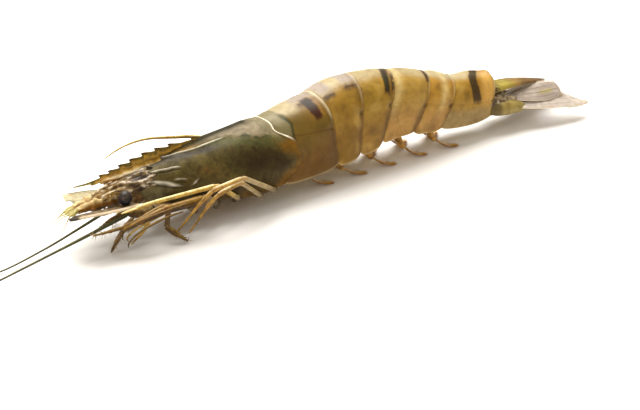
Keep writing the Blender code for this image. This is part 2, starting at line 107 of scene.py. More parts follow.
def on_body(s, q, edge, out=0.0, lobe=1.0):
    """The body's outside at s along the hinge line; q is 0 at the crest and 1 at a foot."""
    height, crest, half, flap = (np.interp(s, RUN[:, 0], RUN[:, k]) for k in range(1, 5))
    rise = np.interp(s + 4.0, RUN[:, 0], RUN[:, 1]) - np.interp(s - 4.0, RUN[:, 0], RUN[:, 1])
    slope = np.arctan2(rise, 8.0)
    reach = np.abs(q)
    turn = np.clip(reach / HINGE, 0.0, 1.0) * 0.5 * math.pi
    drop = np.clip((reach - HINGE) / (1.0 - HINGE), 0.0, 1.0)
    _, crest_back, sweep, power = edge
    above = reach < HINGE
    wide = np.where(above, (half + out) * np.sin(turn), (half + out) * (1 - 0.14 * drop ** 2))
    up = np.where(above, (crest + out) * np.maximum(np.cos(turn), 0.0) ** 0.92,
                  -flap * drop * lobe)
    back = np.where(above, crest_back * np.cos(turn), sweep * drop ** power)
    return leaned(s + back * np.cos(slope) - up * np.sin(slope), np.sign(q) * wide,
                  height + up * np.cos(slope) + back * np.sin(slope))


def bump_at(value, centre, spread):
    """A soft bump of height 1 round a value."""
    return np.exp(-((value - centre) / spread) ** 2)


def ease(value, low, high):
    """0 below low, 1 above high, smooth between, also where high is the lower one."""
    share = np.clip((value - low) / (high - low), 0.0, 1.0)
    return share * share * (3.0 - 2.0 * share)


def linear(code):
    """An sRGB hex colour, as linear red, green and blue."""
    values = np.array([int(code[k:k + 2], 16) for k in (1, 3, 5)]) / 255.0
    return np.where(values <= 0.04045, values / 12.92, ((values + 0.055) / 1.055) ** 2.4)


def mixed(under, colour, share):
    """Colours at each point, with another laid over them by a share at each point."""
    share = np.clip(share, 0.0, 1.0)[:, None]
    return under * (1.0 - share) + linear(colour) * share


def uneven(points, size, seed=0.0):
    """Smooth noise from -1 to 1 at each point, with blotches about that many mm wide."""
    scale = 1.0 / (size * MM)
    return np.array([noise.noise(Vector(p) * scale + Vector((seed, seed, seed)))
                     for p in points])


def lay_over(name, around, along, surface, paint, closed=False):
    """A grid laid over a surface of u and v, painted point by point, seams merged."""
    bpy.ops.object.select_all(action="DESELECT")
    bpy.ops.mesh.primitive_grid_add(x_subdivisions=around, y_subdivisions=along, size=1.0)
    piece = bpy.context.active_object
    piece.name = piece.data.name = name
    flat = np.empty(len(piece.data.vertices) * 3)
    piece.data.vertices.foreach_get("co", flat)
    u, v = flat.reshape(-1, 3)[:, 0] + 0.5, flat.reshape(-1, 3)[:, 1] + 0.5
    points = surface(u, v)
    piece.data.vertices.foreach_set("co", points.ravel())
    colours = np.ones((len(points), 4))
    colours[:, :3] = paint(u, v, points)
    tint = piece.data.color_attributes.new("tint", "FLOAT_COLOR", "POINT")
    tint.data.foreach_set("color", colours.ravel())
    if closed:
        bpy.ops.object.mode_set(mode="EDIT")
        bpy.ops.mesh.select_all(action="SELECT")
        bpy.ops.mesh.remove_doubles(threshold=0.00001)
        bpy.ops.mesh.dissolve_degenerate(threshold=0.000001)
        bpy.ops.object.mode_set(mode="OBJECT")
    bpy.ops.object.shade_smooth()
    return piece


def thicken(piece, thick):
    """Gives a sheet its thickness, on its inner side."""
    wall = piece.modifiers.new("wall", "SOLIDIFY")
    wall.thickness = thick * MM
    wall.offset = -1.0
    wall.use_even_offset = True
    bpy.context.view_layer.objects.active = piece
    bpy.ops.object.modifier_apply(modifier=wall.name)


def add_node(tree, kind, settings=(), links=()):
    """A node with its settings, as socket or property and value, and its links."""
    made = tree.nodes.new(kind)
    for key, value in dict(settings).items():
        if isinstance(key, int) or key in made.inputs:
            made.inputs[key].default_value = value
        else:
            setattr(made, key, value)
    for key, source in dict(links).items():
        tree.links.new(source, made.inputs[key])
    return made


def finish_piece(piece, material, slot, *nodes):
    """Gives a piece its material, hangs it on the body and hides what it stands for."""
    piece.data.materials.clear()
    piece.data.materials.append(material)
    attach(piece, "root")
    if nodes:
        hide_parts(*nodes)
    return piece


def shell_material(name, mottle, mottle_mm, mottle_share, speck_share, relief, rough, see=0.12,
                   film=0.35, film_rough=0.22):
    """Chitin, wet: the painted tint, blotched and specked, under a clear glossy film."""
    made = bpy.data.materials.new(name)
    made.use_nodes = True
    tree = made.node_tree
    tree.nodes.clear()
    place = add_node(tree, "ShaderNodeTexCoord").outputs["Object"]
    tint = add_node(tree, "ShaderNodeVertexColor", {"layer_name": "tint"}).outputs["Color"]
    blotch = add_node(tree, "ShaderNodeTexNoise",
                      {"Scale": 1.0 / (mottle_mm * MM), "Detail": 5.0, "Roughness": 0.62,
                       "Distortion": 0.6}, {"Vector": place})
    blotch_at = add_node(tree, "ShaderNodeMapRange",
                         {"From Min": 0.42, "From Max": 0.72, "To Max": mottle_share},
                         {"Value": blotch.outputs["Fac"]})
    stained = add_node(tree, "ShaderNodeMix", {"data_type": "RGBA", "blend_type": "MULTIPLY",
                                               7: (*linear(mottle), 1.0)},
                       {0: blotch_at.outputs["Result"], 6: tint})
    speck = add_node(tree, "ShaderNodeTexNoise",
                     {"Scale": 1.0 / (0.55 * MM), "Detail": 3.0, "Roughness": 0.7},
                     {"Vector": place})
    speck_at = add_node(tree, "ShaderNodeMapRange",
                        {"From Min": 0.52, "From Max": 0.74, "To Max": speck_share},
                        {"Value": speck.outputs["Fac"]})
    specked = add_node(tree, "ShaderNodeMix", {"data_type": "RGBA", "blend_type": "MULTIPLY",
                                               7: (*linear("#6a5a3c"), 1.0)},
                       {0: speck_at.outputs["Result"], 6: stained.outputs[2]})
    gloss = add_node(tree, "ShaderNodeMapRange",
                     {"From Min": 0.3, "From Max": 0.7, "To Min": rough, "To Max": rough + 0.16},
                     {"Value": blotch.outputs["Fac"]})
    grain = add_node(tree, "ShaderNodeBump", {"Strength": relief, "Distance": 0.06 * MM},
                     {"Height": speck.outputs["Fac"]})
    waves = add_node(tree, "ShaderNodeBump", {"Strength": relief, "Distance": 0.25 * MM},
                     {"Height": blotch.outputs["Fac"], "Normal": grain.outputs["Normal"]})
    surface = add_node(tree, "ShaderNodeBsdfPrincipled",
                       {"IOR": 1.4, "Specular IOR Level": 0.25, "Coat Weight": film,
                        "Coat Roughness": film_rough, "Coat IOR": 1.35,
                        "Specular Tint": (1.0, 0.84, 0.62, 1.0),
                        "Subsurface Weight": see, "Subsurface Scale": 1.5 * MM,
                        "Subsurface Radius": (1.0, 0.7, 0.4)},
                       {"Base Color": specked.outputs[2], "Roughness": gloss.outputs["Result"],
                        "Normal": waves.outputs["Normal"]})
    add_node(tree, "ShaderNodeOutputMaterial", (), {"Surface": surface.outputs["BSDF"]})
    return made


# Thin chitin, grown and not coloured evenly: golden khaki with olive blotches about 4 mm
# wide, and wet, so that it is nearly mirror bright where the light is behind it.
abdomen_chitin = shell_material("wet_banded_chitin", "#94783c", 4.5, 0.4, 0.3, 0.35, 0.4,
                                0.06, 0.16, 0.3)

# The lilac is painted highlight over the dark saddles on the back.
CREAM, BAND_DARK, LILAC_HIGHLIGHT = "#efe2bd", "#221a10", "#9a8c84"
TUCK = 3.4                           # how far a ring goes in under the one before, mm
# Each ring's side and its foot, from the carapace back.
SIDES = ["#6c5520", "#937028", "#957429", "#a58238", "#ab8030", "#a17c2c"]
FEET = ["#64430a", "#7e5c1a", "#8f6a28", "#a98040", "#a67c3e", "#927848"]

# The dark bands: ring, share of its length, how that moves with the square of the way
# round, how much further back at the crest, half-width in mm, where it starts and ends
# round the side, strength.
BANDS = [(1, 0.79, -0.02, 0.0, 1.35, 0.10, 0.45, 0.95),
         (3, 0.80, 0.0, 0.10, 1.1, -0.1, 0.47, 0.95), (3, 0.955, 0.0, 0.0, 0.28, 0.18, 0.47, 0.85),
         (4, 0.94, 0.08, 0.0, 0.9, 0.03, 0.30, 0.85), (6, 0.44, 0.42, 0.15, 2.15, -0.1, 0.58, 0.88)]

# Dark saddles on the back, painted lilac as highlight near the crest and dark brown along their lower edge:
# their place and half-length as shares of the ring's length.
HIGHLIT_SADDLES_AT = {1: [(0.78, 0.18)], 2: [(0.20, 0.15), (0.80, 0.18)], 3: [],
            4: [], 5: [], 6: []}


def groove_on_first(t, q):
    """The cross groove of the first ring: back along the crest, in to the hinge."""
    reach = np.abs(q)
    place = 0.285 - 1.2 * np.maximum(reach - 0.33, 0.0)
    wide = 0.022 + 0.02 * bump_at(reach, 0.2, 0.08)
    return bump_at(t, place, wide) * ease(reach, 0.08, 0.18) * ease(reach, 0.62, 0.58)


def side_line(number, t):
    """Where the line along a ring's side lies: at its hinge, higher in front on the first."""
    return 0.415 + 0.31 * t - 0.12 * t ** 2 if number == 1 else HINGE - 0.015 + 0.0 * t


def ring_relief(number, t, q, length):
    """How far the ring stands out from the plain body, in mm."""
    from_rear = (1.0 - t) * length
    reach = np.abs(q)
    out = 0.35 * np.sin(math.pi * np.clip(t, 0.0, 1.0)) ** 0.8
    out += 0.05 * bump_at(from_rear, 0.3, 0.5) - 0.12 * bump_at(from_rear, 1.3, 0.6)
    out -= 1.1 * ease(t * length, 1.2, -TUCK)
    out -= 0.5 * bump_at(reach, HINGE, 0.025) * bump_at(from_rear, 0.4, 0.9)
    if number in (1, 6):
        out -= 0.10 * bump_at(reach, side_line(number, t), 0.015) * ease(t, 0.0, 0.2)
    # The back is not evenly round: shallow swells, and folds across it near the hinge.
    out += 0.16 * np.sin(5.0 * t + 3.0 * number) * np.cos(9.0 * reach + 2.0 * number)
    if number == 1:
        out -= 0.5 * groove_on_first(t, q)
    if number >= 4:
        out += (0.3 + 0.15 * (number - 4)) * bump_at(q, 0.0, 0.05) * ease(t, 0.05, 0.4)
    if number == 6:
        out += 0.5 * ease(t, 0.75, 0.93) * ease(reach, 0.6, 0.2) - 0.9 * ease(t, 0.94, 1.0)
    return out


def ring_paint(number, t, q, length, points):
    """The ring's colours: pale along the back as painted highlight, khaki sides, dark bands, a thin cream
    rim, and painted shade by the rims, in the hinge notch and low at the rear.
    """
    reach = np.abs(q)
    wobble = uneven(points, 5.0, 3.0 * number)
    fine = uneven(points, 1.6, 7.0 + number)
    from_rear = (1.0 - t) * length
    colours = np.repeat(linear(SIDES[number - 1])[None, :], len(t), axis=0)
    colours = mixed(colours, FEET[number - 1], ease(reach + 0.06 * wobble, 0.55, 0.8))
    # Painted highlight: the back is painted pale, nearly cream, where the light from above and behind lies
    # on it.
    crest = "#a89870" if number in (3, 4) else "#b3a47e"
    colours = mixed(colours, crest, 0.9 * ease(reach + 0.05 * wobble, 0.28, 0.13))
    colours = mixed(colours, "#5e4418", 0.4 * ease(wobble, 0.1, 0.6) * ease(reach, 0.2, 0.35))
    colours = mixed(colours, "#6c5424", 0.35 * ease(uneven(points, 2.6, 43.0 + number), 0.1, 0.5)
                    * ease(reach, 0.24, 0.34))
    # Painted shade: rings 1 to 4 are painted browner towards the rear of their lower side.
    colours = mixed(colours, "#5c401a", 0.5 * ease(t + 0.1 * wobble, 0.72, 0.98)
                    * ease(reach, 0.5, 0.72) * (number < 5))
    colours = mixed(colours, "#c4a256", 0.3 * ease(wobble, -0.1, -0.5) * ease(reach, 0.2, 0.35)
                    * (number > 1))
    low = 0.15 if number == 1 else 0.24
    # Painted highlight: each saddle is lilac near the crest, where the light lies over its dark colour.
    for place, wide in HIGHLIT_SADDLES_AT[number]:
        patch = ease(np.abs(t - place + 0.02 * fine), wide + 0.06, wide - 0.06)
        colours = mixed(colours, "#3e2a14", 0.95 * patch
                        * bump_at(reach + 0.03 * fine, low + 0.02, 0.045))
        colours = mixed(colours, LILAC_HIGHLIGHT, 0.8 * patch * ease(reach + 0.04 * fine, low, low - 0.1))
    if number == 1:
        ahead = ease(t - 0.285 + 1.2 * np.maximum(reach - 0.33, 0.0), 0.02, -0.02)
        colours = mixed(colours, "#726a48", 0.85 * ahead)
        colours = mixed(colours, "#1f2a10", 0.95 * groove_on_first(t, q))
    if number in (4, 5):
        place = (0.0, 0.12, 0.62)[number - 3]
        colours = mixed(colours, "#e2cf94", 0.45 * bump_at(t, place, 0.10 + 0.03 * (number - 4))
                        * ease(reach, 0.85, 0.4))
    if number == 6:
        colours = mixed(colours, "#dfae5c", 0.6 * ease(t, 0.6, 0.75) * ease(reach, 0.7, 0.5))
        colours = mixed(colours, "#a08a58", 0.4 * ease(reach, 0.66, 0.76) * ease(t, 0.9, 0.2))
        colours = mixed(colours, "#3a2c18", 0.85 * bump_at(q, 0.0, 0.02)
                        * ease(t, 0.5, 0.55) * ease(t, 0.85, 0.75))
    for ring, place, move, arch, half, start, end, strength in BANDS:
        if ring != number:
            continue
        across = (t - place - move * reach ** 2 - arch * ease(reach, 0.25, 0.0)) * length
        across = across + 0.3 * fine + 0.15 * uneven(points, 0.8, 3.0)
        span = ease(reach, start - 0.05, start + 0.05) * ease(reach + 0.03 * fine, end + 0.03,
                                                              end - 0.04)
        colours = mixed(colours, "#9a6a20", 0.5 * bump_at(across, 0.6 * half, half * 1.9) * span)
        dark = ease(np.abs(across), 1.25 * half, 0.75 * half) * span
        colours = mixed(colours, "#30130f" if number < 3 else BAND_DARK, strength * dark)
        if number == 1:
            colours = mixed(colours, "#1e180f", 0.9 * dark * ease(reach, 0.34, 0.22))
        if number == 3:
            colours = mixed(colours, "#2c3418", 0.7 * dark * bump_at(reach, 0.3, 0.08))
    rim = ease(from_rear, 0.7, 0.3)
    # Painted shade in the shallow groove just ahead of the rim.
    colours = mixed(colours, "#57401c", 0.4 * bump_at(from_rear, 1.0, 0.4))
    bright = (0.4, 0.2, 0.05, 0.15, 0.15, 0.2)[number - 1]
    colours = mixed(colours, CREAM, rim * bright * ease(reach, 0.58, 0.4))
    colours = mixed(colours, "#6a4c22", 0.75 * rim * ease(reach, 0.42, 0.62))
    # Painted shade in the hinge notch at the rear of the rim.
    notch_shade = bump_at(reach + 0.01 * fine, HINGE, 0.02) * bump_at(from_rear, 0.3, 0.9)
    colours = mixed(colours, "#2c1c10", 0.9 * notch_shade)
    line = bump_at(reach + 0.01 * fine, side_line(number, t), 0.009)
    colours = mixed(colours, "#5a3418", line * (0.55 if number == 1 else 0.15))
    # Painted shade where the ring runs in under the rim of the ring before it.
    colours = mixed(colours, "#4a3416", 0.6 * ease(t * length, 0.9, 0.1) * (number > 1)
                    * ease(reach, 0.02, 0.14))
    return mixed(colours, "#d8c494", 0.4 * ease(reach, 0.98, 0.995))


def make_ring(number):
    """One ring, from the edge it shares with the plate before it to its own rear rim."""
    front, rear = RING_EDGES[number - 1:number + 1]
    length = rear[0] - front[0]

    def shares(u, v):
        return 1.0 - 2.0 * u, v * (1.0 + TUCK / length) - TUCK / length

    def surface(u, v):
        q, t = shares(u, v)
        share = np.clip(t, 0.0, 1.0)
        edge = [f + (r - f) * share for f, r in zip(front, rear)]
        corner = 1.0 - np.sqrt(np.clip(1.0 - (2.0 * share - 1.0) ** 2, 0.0, 1.0))
        lobe = 1.0 - 0.16 * corner ** 1.6
        s = edge[0] + np.minimum(t, 0.0) * length + 0.5 * ease(t, 0.9, 1.0)
        return on_body(s, q, edge, ring_relief(number, t, q, length), lobe)

    def paint(u, v, points):
        q, t = shares(u, v)
        return ring_paint(number, t, q, length, points)

    ring = lay_over(f"ring_{number}", 220, int((length + TUCK) / 0.4), surface, paint)
    thicken(ring, SHELL_THICK)
    finish_piece(ring, abdomen_chitin, "abdomen_shell", f"abdomen_{number}")


for ring_number in range(1, 7):
    make_ring(ring_number)


# --- Flesh: the pale, half clear meat and belly skin inside the six rings. It shows only
# from below, between the side flaps, with a stiffer bar across it at each pair of swimmerets.

belly_skin = shell_material("raw_prawn_flesh", "#c8b68c", 3.0, 0.4, 0.15, 0.3, 0.35, 0.4)
BELLY_UP = 3.4                       # the belly is this far above the flaps' feet, mm
RIBS_AT = (12.0, 27.0, 40.5, 55.0, 69.5)


def flesh_surface(u, v):
    s = -8.0 + 109.5 * v
    height, _, half, flap = (np.interp(s, RUN[:, 0], RUN[:, k]) for k in range(1, 5))
    over = u < 0.72
    q = np.where(over, 0.82 - 1.64 * u / 0.72, 0.0)
    skin = on_body(s, q, (0, 0, 0, 1.0), -1.7)
    across = np.where(over, 0.0, -1.0 + 2.0 * (u - 0.72) / 0.28)
    rib = sum(bump_at(s, at, 1.3) for at in RIBS_AT)
    up = BELLY_UP - flap - 0.6 + 0.9 * across ** 2 - 0.9 * rib * (1.0 - across ** 4)
    under = leaned(s, across * (half * 0.9 - 1.7), height + up)
    return np.where(over[:, None], skin, under)


def flesh_paint(u, v, points):
    colours = np.repeat(linear("#cdbf98")[None, :], len(u), axis=0)
    return mixed(colours, "#a98a58", 0.6 * ease(uneven(points, 4.0, 5.0), 0.0, 0.6))


flesh = lay_over("flesh", 90, 160, flesh_surface, flesh_paint, closed=True)
finish_piece(flesh, belly_skin, "abdomen_shell")


# --- Carapace: one stiff saddle of shell over the head and gills, open below. It has a
# thick rolled rim at the rear, a keel along the back, and a few ridges and spines in front.

carapace_chitin = shell_material("wet_dark_chitin", "#6a5c38", 3.2, 0.55, 0.5, 0.6, 0.42,
                                 0.03, 0.03, 0.4)
OLIVE, BLACKISH, AMBER = "#564b26", "#1e1508", "#725016"
FRONT_LENGTH = CARAPACE_REAR[0] - CARAPACE_FRONT[0]


def beside_keel(x):
    """Where the ridge on each side of the keel lies, from the crest."""
    return 0.03 + 0.12 * ease(x, -43.0, -26.0)


def brow_ridges(x, reach, low=0.0):
    """The short ridges behind the eye and above the cheek, or the grooves below them."""
    crooked = 0.004 * np.sin(1.3 * x) + low
    share = (bump_at(reach, 0.315 + 0.003 * (x + 44.0) + crooked, 0.012)
             * ease(x, -49.0, -46.5) * ease(x, -36.5, -40.0))
    share = share + (bump_at(reach, 0.515 + 0.003 * (x + 40.0) + crooked, 0.010)
                     * ease(x, -42.0, -40.5) * ease(x, -36.5, -38.5)) * 0.6
    return share + (bump_at(reach, 0.535 + 0.013 * (x + 46.0) + crooked,
                            0.012 + 0.016 * ease(x, -38.0, -44.0))
                    * ease(x, -51.0, -47.0) * ease(x, -38.0, -42.5))


def carapace_relief(x, q, from_rear):
    """How far the carapace stands out from the plain body, in mm: rims, ridges, grooves."""
    reach = np.abs(q)
    out = 0.22 * bump_at(from_rear, 0.4, 0.5) - 0.22 * bump_at(from_rear, 1.6, 0.8)
    out += 0.3 * bump_at(reach, 0.985, 0.02)
    keel_on = ease(x, -56.0, -44.0) * ease(x, 3.0, -4.0)
    out += 1.0 * bump_at(q, 0.0, 0.028) * keel_on
    ridge_on = ease(x, -8.0, -20.0)
    out -= 0.5 * bump_at(reach, 0.55 * beside_keel(x), 0.04) * ease(x, -12.0, -28.0)
    out += 0.4 * bump_at(reach, beside_keel(x), 0.016) * ridge_on
    out -= 0.2 * bump_at(reach, beside_keel(x) + 0.06, 0.045) * ridge_on
    out += 0.4 * brow_ridges(x, reach) - 0.3 * brow_ridges(x, reach, 0.045)
    across = -33.0 + 16.0 * (reach - 0.45)
    out -= 0.35 * bump_at(x, across, 2.4) * ease(reach, 0.3, 0.42) * ease(reach, 0.78, 0.62)
    dents = np.sin(0.9 * x + 9.0 * reach) * np.sin(21.0 * reach - 0.35 * x)
    out += 0.07 * dents * ease(x, -12.0, -34.0)
    return out + 0.6 * bump_at(reach, 0.72, 0.16) * ease(x, -30.0, -14.0)


def carapace_front_back(q):
    """The front edge's own shape, in mm: eye notch, and spines above and below it."""
    reach = np.abs(q)
    back = 6.5 * ease(reach, 0.56, 0.46) + 6.5 * ease(reach, 0.15, 0.08)
    back += 1.2 * np.sin(38.0 * reach) * ease(reach, 0.1, 0.16) * ease(reach, 0.5, 0.4)
    return back - 2.6 * np.clip(1.0 - np.abs(reach - 0.62) / 0.05, 0.0, 1.0) ** 1.4


def carapace_along(q, v):
    """Where a place on the carapace lies along the hinge line."""
    return CARAPACE_FRONT[0] + FRONT_LENGTH * v + carapace_front_back(q) * (1.0 - v) ** 4


def carapace_surface(u, v):
    q = 1.0 - 2.0 * u
    edge = [f + (r - f) * v for f, r in zip(CARAPACE_FRONT, CARAPACE_REAR)]
    s = carapace_along(q, v) + 0.4 * ease(v, 0.95, 1.0)
    # The rear rim runs in a shallow S: forward on the shoulder, back again above the hinge.
    reach = np.abs(q)
    s += v ** 8 * (1.2 * bump_at(reach, 0.49, 0.08) - 2.2 * bump_at(reach, 0.31, 0.08))
    lobe = 1.0 - 0.10 * ease(v, 0.93, 1.0) - 0.25 * ease(v, 0.1, 0.0)
    out = carapace_relief(carapace_along(q, v), q, (1.0 - v) * FRONT_LENGTH)
    return on_body(s, q, edge, out, lobe)


def carapace_paint(u, v, points):
    q = 1.0 - 2.0 * u
    x = carapace_along(q, v)
    reach, from_rear = np.abs(q), (1.0 - v) * FRONT_LENGTH
    wide, fine = uneven(points, 7.0, 11.0), uneven(points, 2.4, 17.0)
    finest = uneven(points, 1.0, 19.0)
    blur = 0.05 * wide + 0.04 * fine + 0.02 * finest
    ridge = beside_keel(x)
    colours = np.repeat(linear(OLIVE)[None, :], len(u), axis=0)
    colours = mixed(colours, "#6f6130", 0.7 * ease(wide + 0.5 * fine, 0.0, 0.5))
    colours = mixed(colours, "#3a301a", 0.6 * ease(fine + 0.5 * finest, 0.15, 0.55))
    colours = mixed(colours, "#5e4220", 0.25 * ease(uneven(points, 4.0, 29.0), 0.1, 0.5)
                    * ease(reach, 0.36, 0.5))
    colours = mixed(colours, "#7a4a28", 0.3 * bump_at(x, -29.0, 2.4) * bump_at(reach, 0.47, 0.05))
    # A greenish band runs back and down below the shoulder, with a blackish field under it.
    band = 0.17 + 0.0125 * (x + 20.0)
    green = bump_at(reach + blur, band, 0.065) * ease(x, -27.0, -20.0) * ease(x, 5.0, 1.0)
    colours = mixed(colours, "#4e5028", 0.85 * green)
    colours = mixed(colours, "#1e2a14", 0.9 * bump_at(reach + blur, band - 0.075, 0.022)
                    * ease(fine + finest, -0.3, 0.3) * ease(x, -14.0, -8.0) * ease(x, 4.0, 1.0))
    colours = mixed(colours, BLACKISH, 0.9 * bump_at(x + 5 * wide, -8.0, 13.0) * ease(x, 4.5, -1.0)
                    * bump_at(reach + blur, 0.55 + 0.010 * (x + 9.0), 0.17))
    colours = mixed(colours, BLACKISH, 0.6 * ease(reach + blur, 0.66, 0.82) * ease(x, -8.0, -22.0))
    colours = mixed(colours, "#33240e", 0.55 * ease(x + 4 * fine, -20.0, -11.0) * ease(x, 6.0, 1.0)
                    * ease(reach + blur, band + 0.06, band + 0.14))
    # Painted highlight: a pale band along the shoulder above the green band, where the light from above
    # lies.
    shoulder_highlight = ease(reach + blur, band - 0.07, band - 0.14) * ease(x, -32.0, -18.0)
    colours = mixed(colours, "#7f7158", 0.9 * shoulder_highlight)
    colours = mixed(colours, "#887a5c", 0.8 * shoulder_highlight * bump_at(x + 2 * fine, 0.0, 5.0))
    colours = mixed(colours, AMBER, ease(x + 5.0 * wide, -0.5, 5.0)
                    * ease(reach + blur, 0.40, 0.54))
    colours = mixed(colours, "#7c5614", 0.5 * ease(x + 3.0 * wide, 3.5, 7.0)
                    * ease(reach + blur, 0.40, 0.54))
    colours = mixed(colours, AMBER, 0.5 * ease(reach + blur, 0.84, 0.97) * ease(x, -30.0, -8.0))
    colours = mixed(colours, "#7c7452", 0.7 * bump_at(from_rear, 3.4, 2.4)
                    * ease(reach, 0.5, 0.3))
    # In front, the blade's sides run back between the keel and the ridge beside it, and the
    # cheek below the eye is a flat khaki.
    beside = ease(reach, ridge + 0.005, ridge - 0.015) * ease(x, -14.0, -24.0)
    colours = mixed(colours, "#5c4c20", beside)
    colours = mixed(colours, "#9c7420", beside * ease(x + 3 * fine, -24.0, -34.0))
    colours = mixed(colours, "#746c4c", 0.8 * ease(x + 2 * fine, -42.0, -47.0)
                    * ease(reach, 0.5, 0.62))
    colours = mixed(colours, "#26240f", 0.95 * bump_at(q, -0.01, 0.05) * ease(x, 4.0, -4.0))
    # Painted shade: the groove below the ridge beside the keel is painted near black.
    colours = mixed(colours, "#1c1409", 0.95 * ease(x + 3 * fine, -15.0, -24.0)
                    * bump_at(reach + 0.3 * blur, ridge + 0.07, 0.05 + 0.04 * ease(x, -28.0, -40.0)))
    # Painted highlight: a thin white line along the ridge beside the keel.
    colours = mixed(colours, "#e2dcc4", 0.85 * bump_at(reach, ridge, 0.010)
                    * ease(x, -12.0, -20.0) * ease(x, -42.0, -38.0))
    # Painted shade in the grooves below the short ridges behind the eye, and painted highlight on those
    # ridges and on a short slash beside them.
    colours = mixed(colours, BLACKISH, 0.7 * brow_ridges(x, reach, 0.045))
    colours = mixed(colours, "#ddd6c4", 0.9 * brow_ridges(x, reach))
    slash_highlight = bump_at(x + 40.0 * (reach - 0.6), -35.2, 0.4) * bump_at(reach, 0.585, 0.028)
    colours = mixed(colours, "#e6e0d0", 0.8 * slash_highlight)
    rim = ease(from_rear, 0.9, 0.6)
    colours = mixed(colours, "#f4ecd0", rim * ease(reach, 0.52, 0.42))
    return mixed(colours, "#6c5026", 0.8 * rim * ease(reach, 0.42, 0.52))


carapace = lay_over("carapace_saddle", 240, 200, carapace_surface, carapace_paint)
thicken(carapace, 0.5)
finish_piece(carapace, carapace_chitin, "carapace_shell", "carapace")


# --- Rostrum: the blade that grows from the carapace's keel, with eight teeth above that
# lean forward, three small ones below near the tip, and a ridge along each side.

ROSTRUM_TEETH = (-64.1, -60.3, -56.2, -51.8, -46.8, -41.6, -36.1, -26.9)
BLADE_TOP = smooth_run([(-80.0, 22.7), (-76.1, 23.1), (-70.0, 23.2), (-62.0, 24.3),
                        (-53.4, 26.3), (-46.0, 27.7), (-37.8, 28.2), (-28.0, 28.4),
                        (-15.0, 29.0)], 8)
BLADE_FOOT = [(-77.6, 22.7), (-74.0, 22.5), (-69.6, 22.2), (-69.2, 21.6), (-66.2, 21.9),
              (-65.6, 21.2), (-62.8, 21.6), (-60.6, 21.0), (-56.0, 21.0), (-44.0, 20.6),
              (-16.0, 24.6)]
rostrum_chitin = shell_material("wet_amber_chitin", "#8a6a34", 2.4, 0.6, 0.4, 0.4, 0.26, 0.2)


def tooth_at(x):
    """How much of a tooth stands at x: it climbs slowly towards the head, then drops."""
    return sum(np.where(x < tooth, ease(x, tooth - 1.5, tooth - 0.9),
                        np.clip(1.0 - (x - tooth) / 3.0, 0.0, 1.0) ** 1.5)
               for tooth in ROSTRUM_TEETH)


def blade_surface(u, v):
    x = -77.6 + 62.0 * v
    tooth = tooth_at(x)
    foot = np.interp(x, *zip(*BLADE_FOOT))
    top = np.interp(x, BLADE_TOP[:, 0], BLADE_TOP[:, 1]) + 0.85 * tooth
    top = np.maximum(foot + 0.25, top - 1.2 * ease(x, -75.5, -77.6))
    turn = 2.0 * math.pi * u
    level = 0.5 - 0.5 * np.cos(turn)
    thick = 0.95 * ease(x, -80.0, -52.0) + 0.18
    side = np.sign(np.sin(turn)) * np.abs(np.sin(turn)) ** 0.7
    ridge = 0.5 + 0.75 * bump_at(level, 0.30, 0.16) - 0.25 * bump_at(level, 0.55, 0.15)
    h = foot + (top - foot) * level
    return leaned(x - 1.3 * tooth * ease(level, 0.72, 1.0), -side * thick * ridge, h)


def blade_paint(u, v, points):
    x = -77.6 + 62.0 * v
    level = 0.5 - 0.5 * np.cos(2.0 * math.pi * u)
    fine, wide = uneven(points, 1.3, 23.0), uneven(points, 4.0, 27.0)
    colours = np.repeat(linear("#bb9234")[None, :], len(u), axis=0)
    colours = mixed(colours, "#c88440", 0.6 * ease(wide + 0.4 * fine, 0.0, 0.3)
                    * ease(level, 0.5, 0.3) * ease(x, -68.0, -60.0))
    colours = mixed(colours, "#8a6a24", 0.7 * ease(fine, 0.0, 0.4) * ease(level, 0.3, 0.5))
    colours = mixed(colours, "#574c1e", 0.85 * ease(level + 0.12 * fine, 0.74, 0.9))
    colours = mixed(colours, "#6c7432", 0.85 * ease(x, -64.0, -72.0) * ease(fine, -0.5, 0.1))
    streak = level + 0.05 * fine + 0.004 * (x + 56.0)
    # Painted highlight: a cream streak along the ridge on the blade's side.
    colours = mixed(colours, "#f4e8c4", 0.95 * bump_at(streak, 0.36, 0.11)
                    * ease(x, -68.0, -60.0))
    colours = mixed(colours, "#6e511a", 0.7 * bump_at(streak, 0.66, 0.07)
                    * ease(x, -66.0, -54.0))
    colours = mixed(colours, "#d6a838", 0.6 * bump_at(streak, 0.53, 0.06)
                    * ease(x, -66.0, -58.0))
    colours = mixed(colours, "#5e5a34", 0.75 * ease(x, -30.0, -20.0) * ease(level, 0.2, 0.5))
    dark = ease(tooth_at(x), 0.45, 0.85) * ease(level, 0.86, 0.96)
    return mixed(colours, "#3a2612", 0.9 * dark)


rostrum = lay_over("rostrum_blade", 28, 520, blade_surface, blade_paint, closed=True)
finish_piece(rostrum, rostrum_chitin, "carapace_shell")


# --- Eyes: a round black cornea, finely faceted and wet, on a short thick stalk that turns
# in a notch of the carapace. Its top is painted dark brown as a skin that closes over it like a lid.

EYES = {"left": ((-57.6, -4.0, 16.0), (-60.9, -7.6, 16.5)),
        "right": ((-57.4, 4.0, 16.6), (-58.8, 7.9, 18.7))}
BALL = 2.5


def turned(point, ahead, up=(0.0, 0.0, 1.0)):
    """Two directions square to a line, for laying a section round it."""
    line = ahead / np.linalg.norm(ahead, axis=-1, keepdims=True)
    first = np.asarray(up) - line * (line @ np.asarray(up))[..., None]
    first = first / np.linalg.norm(first, axis=-1, keepdims=True)
    return first, np.cross(line, first)


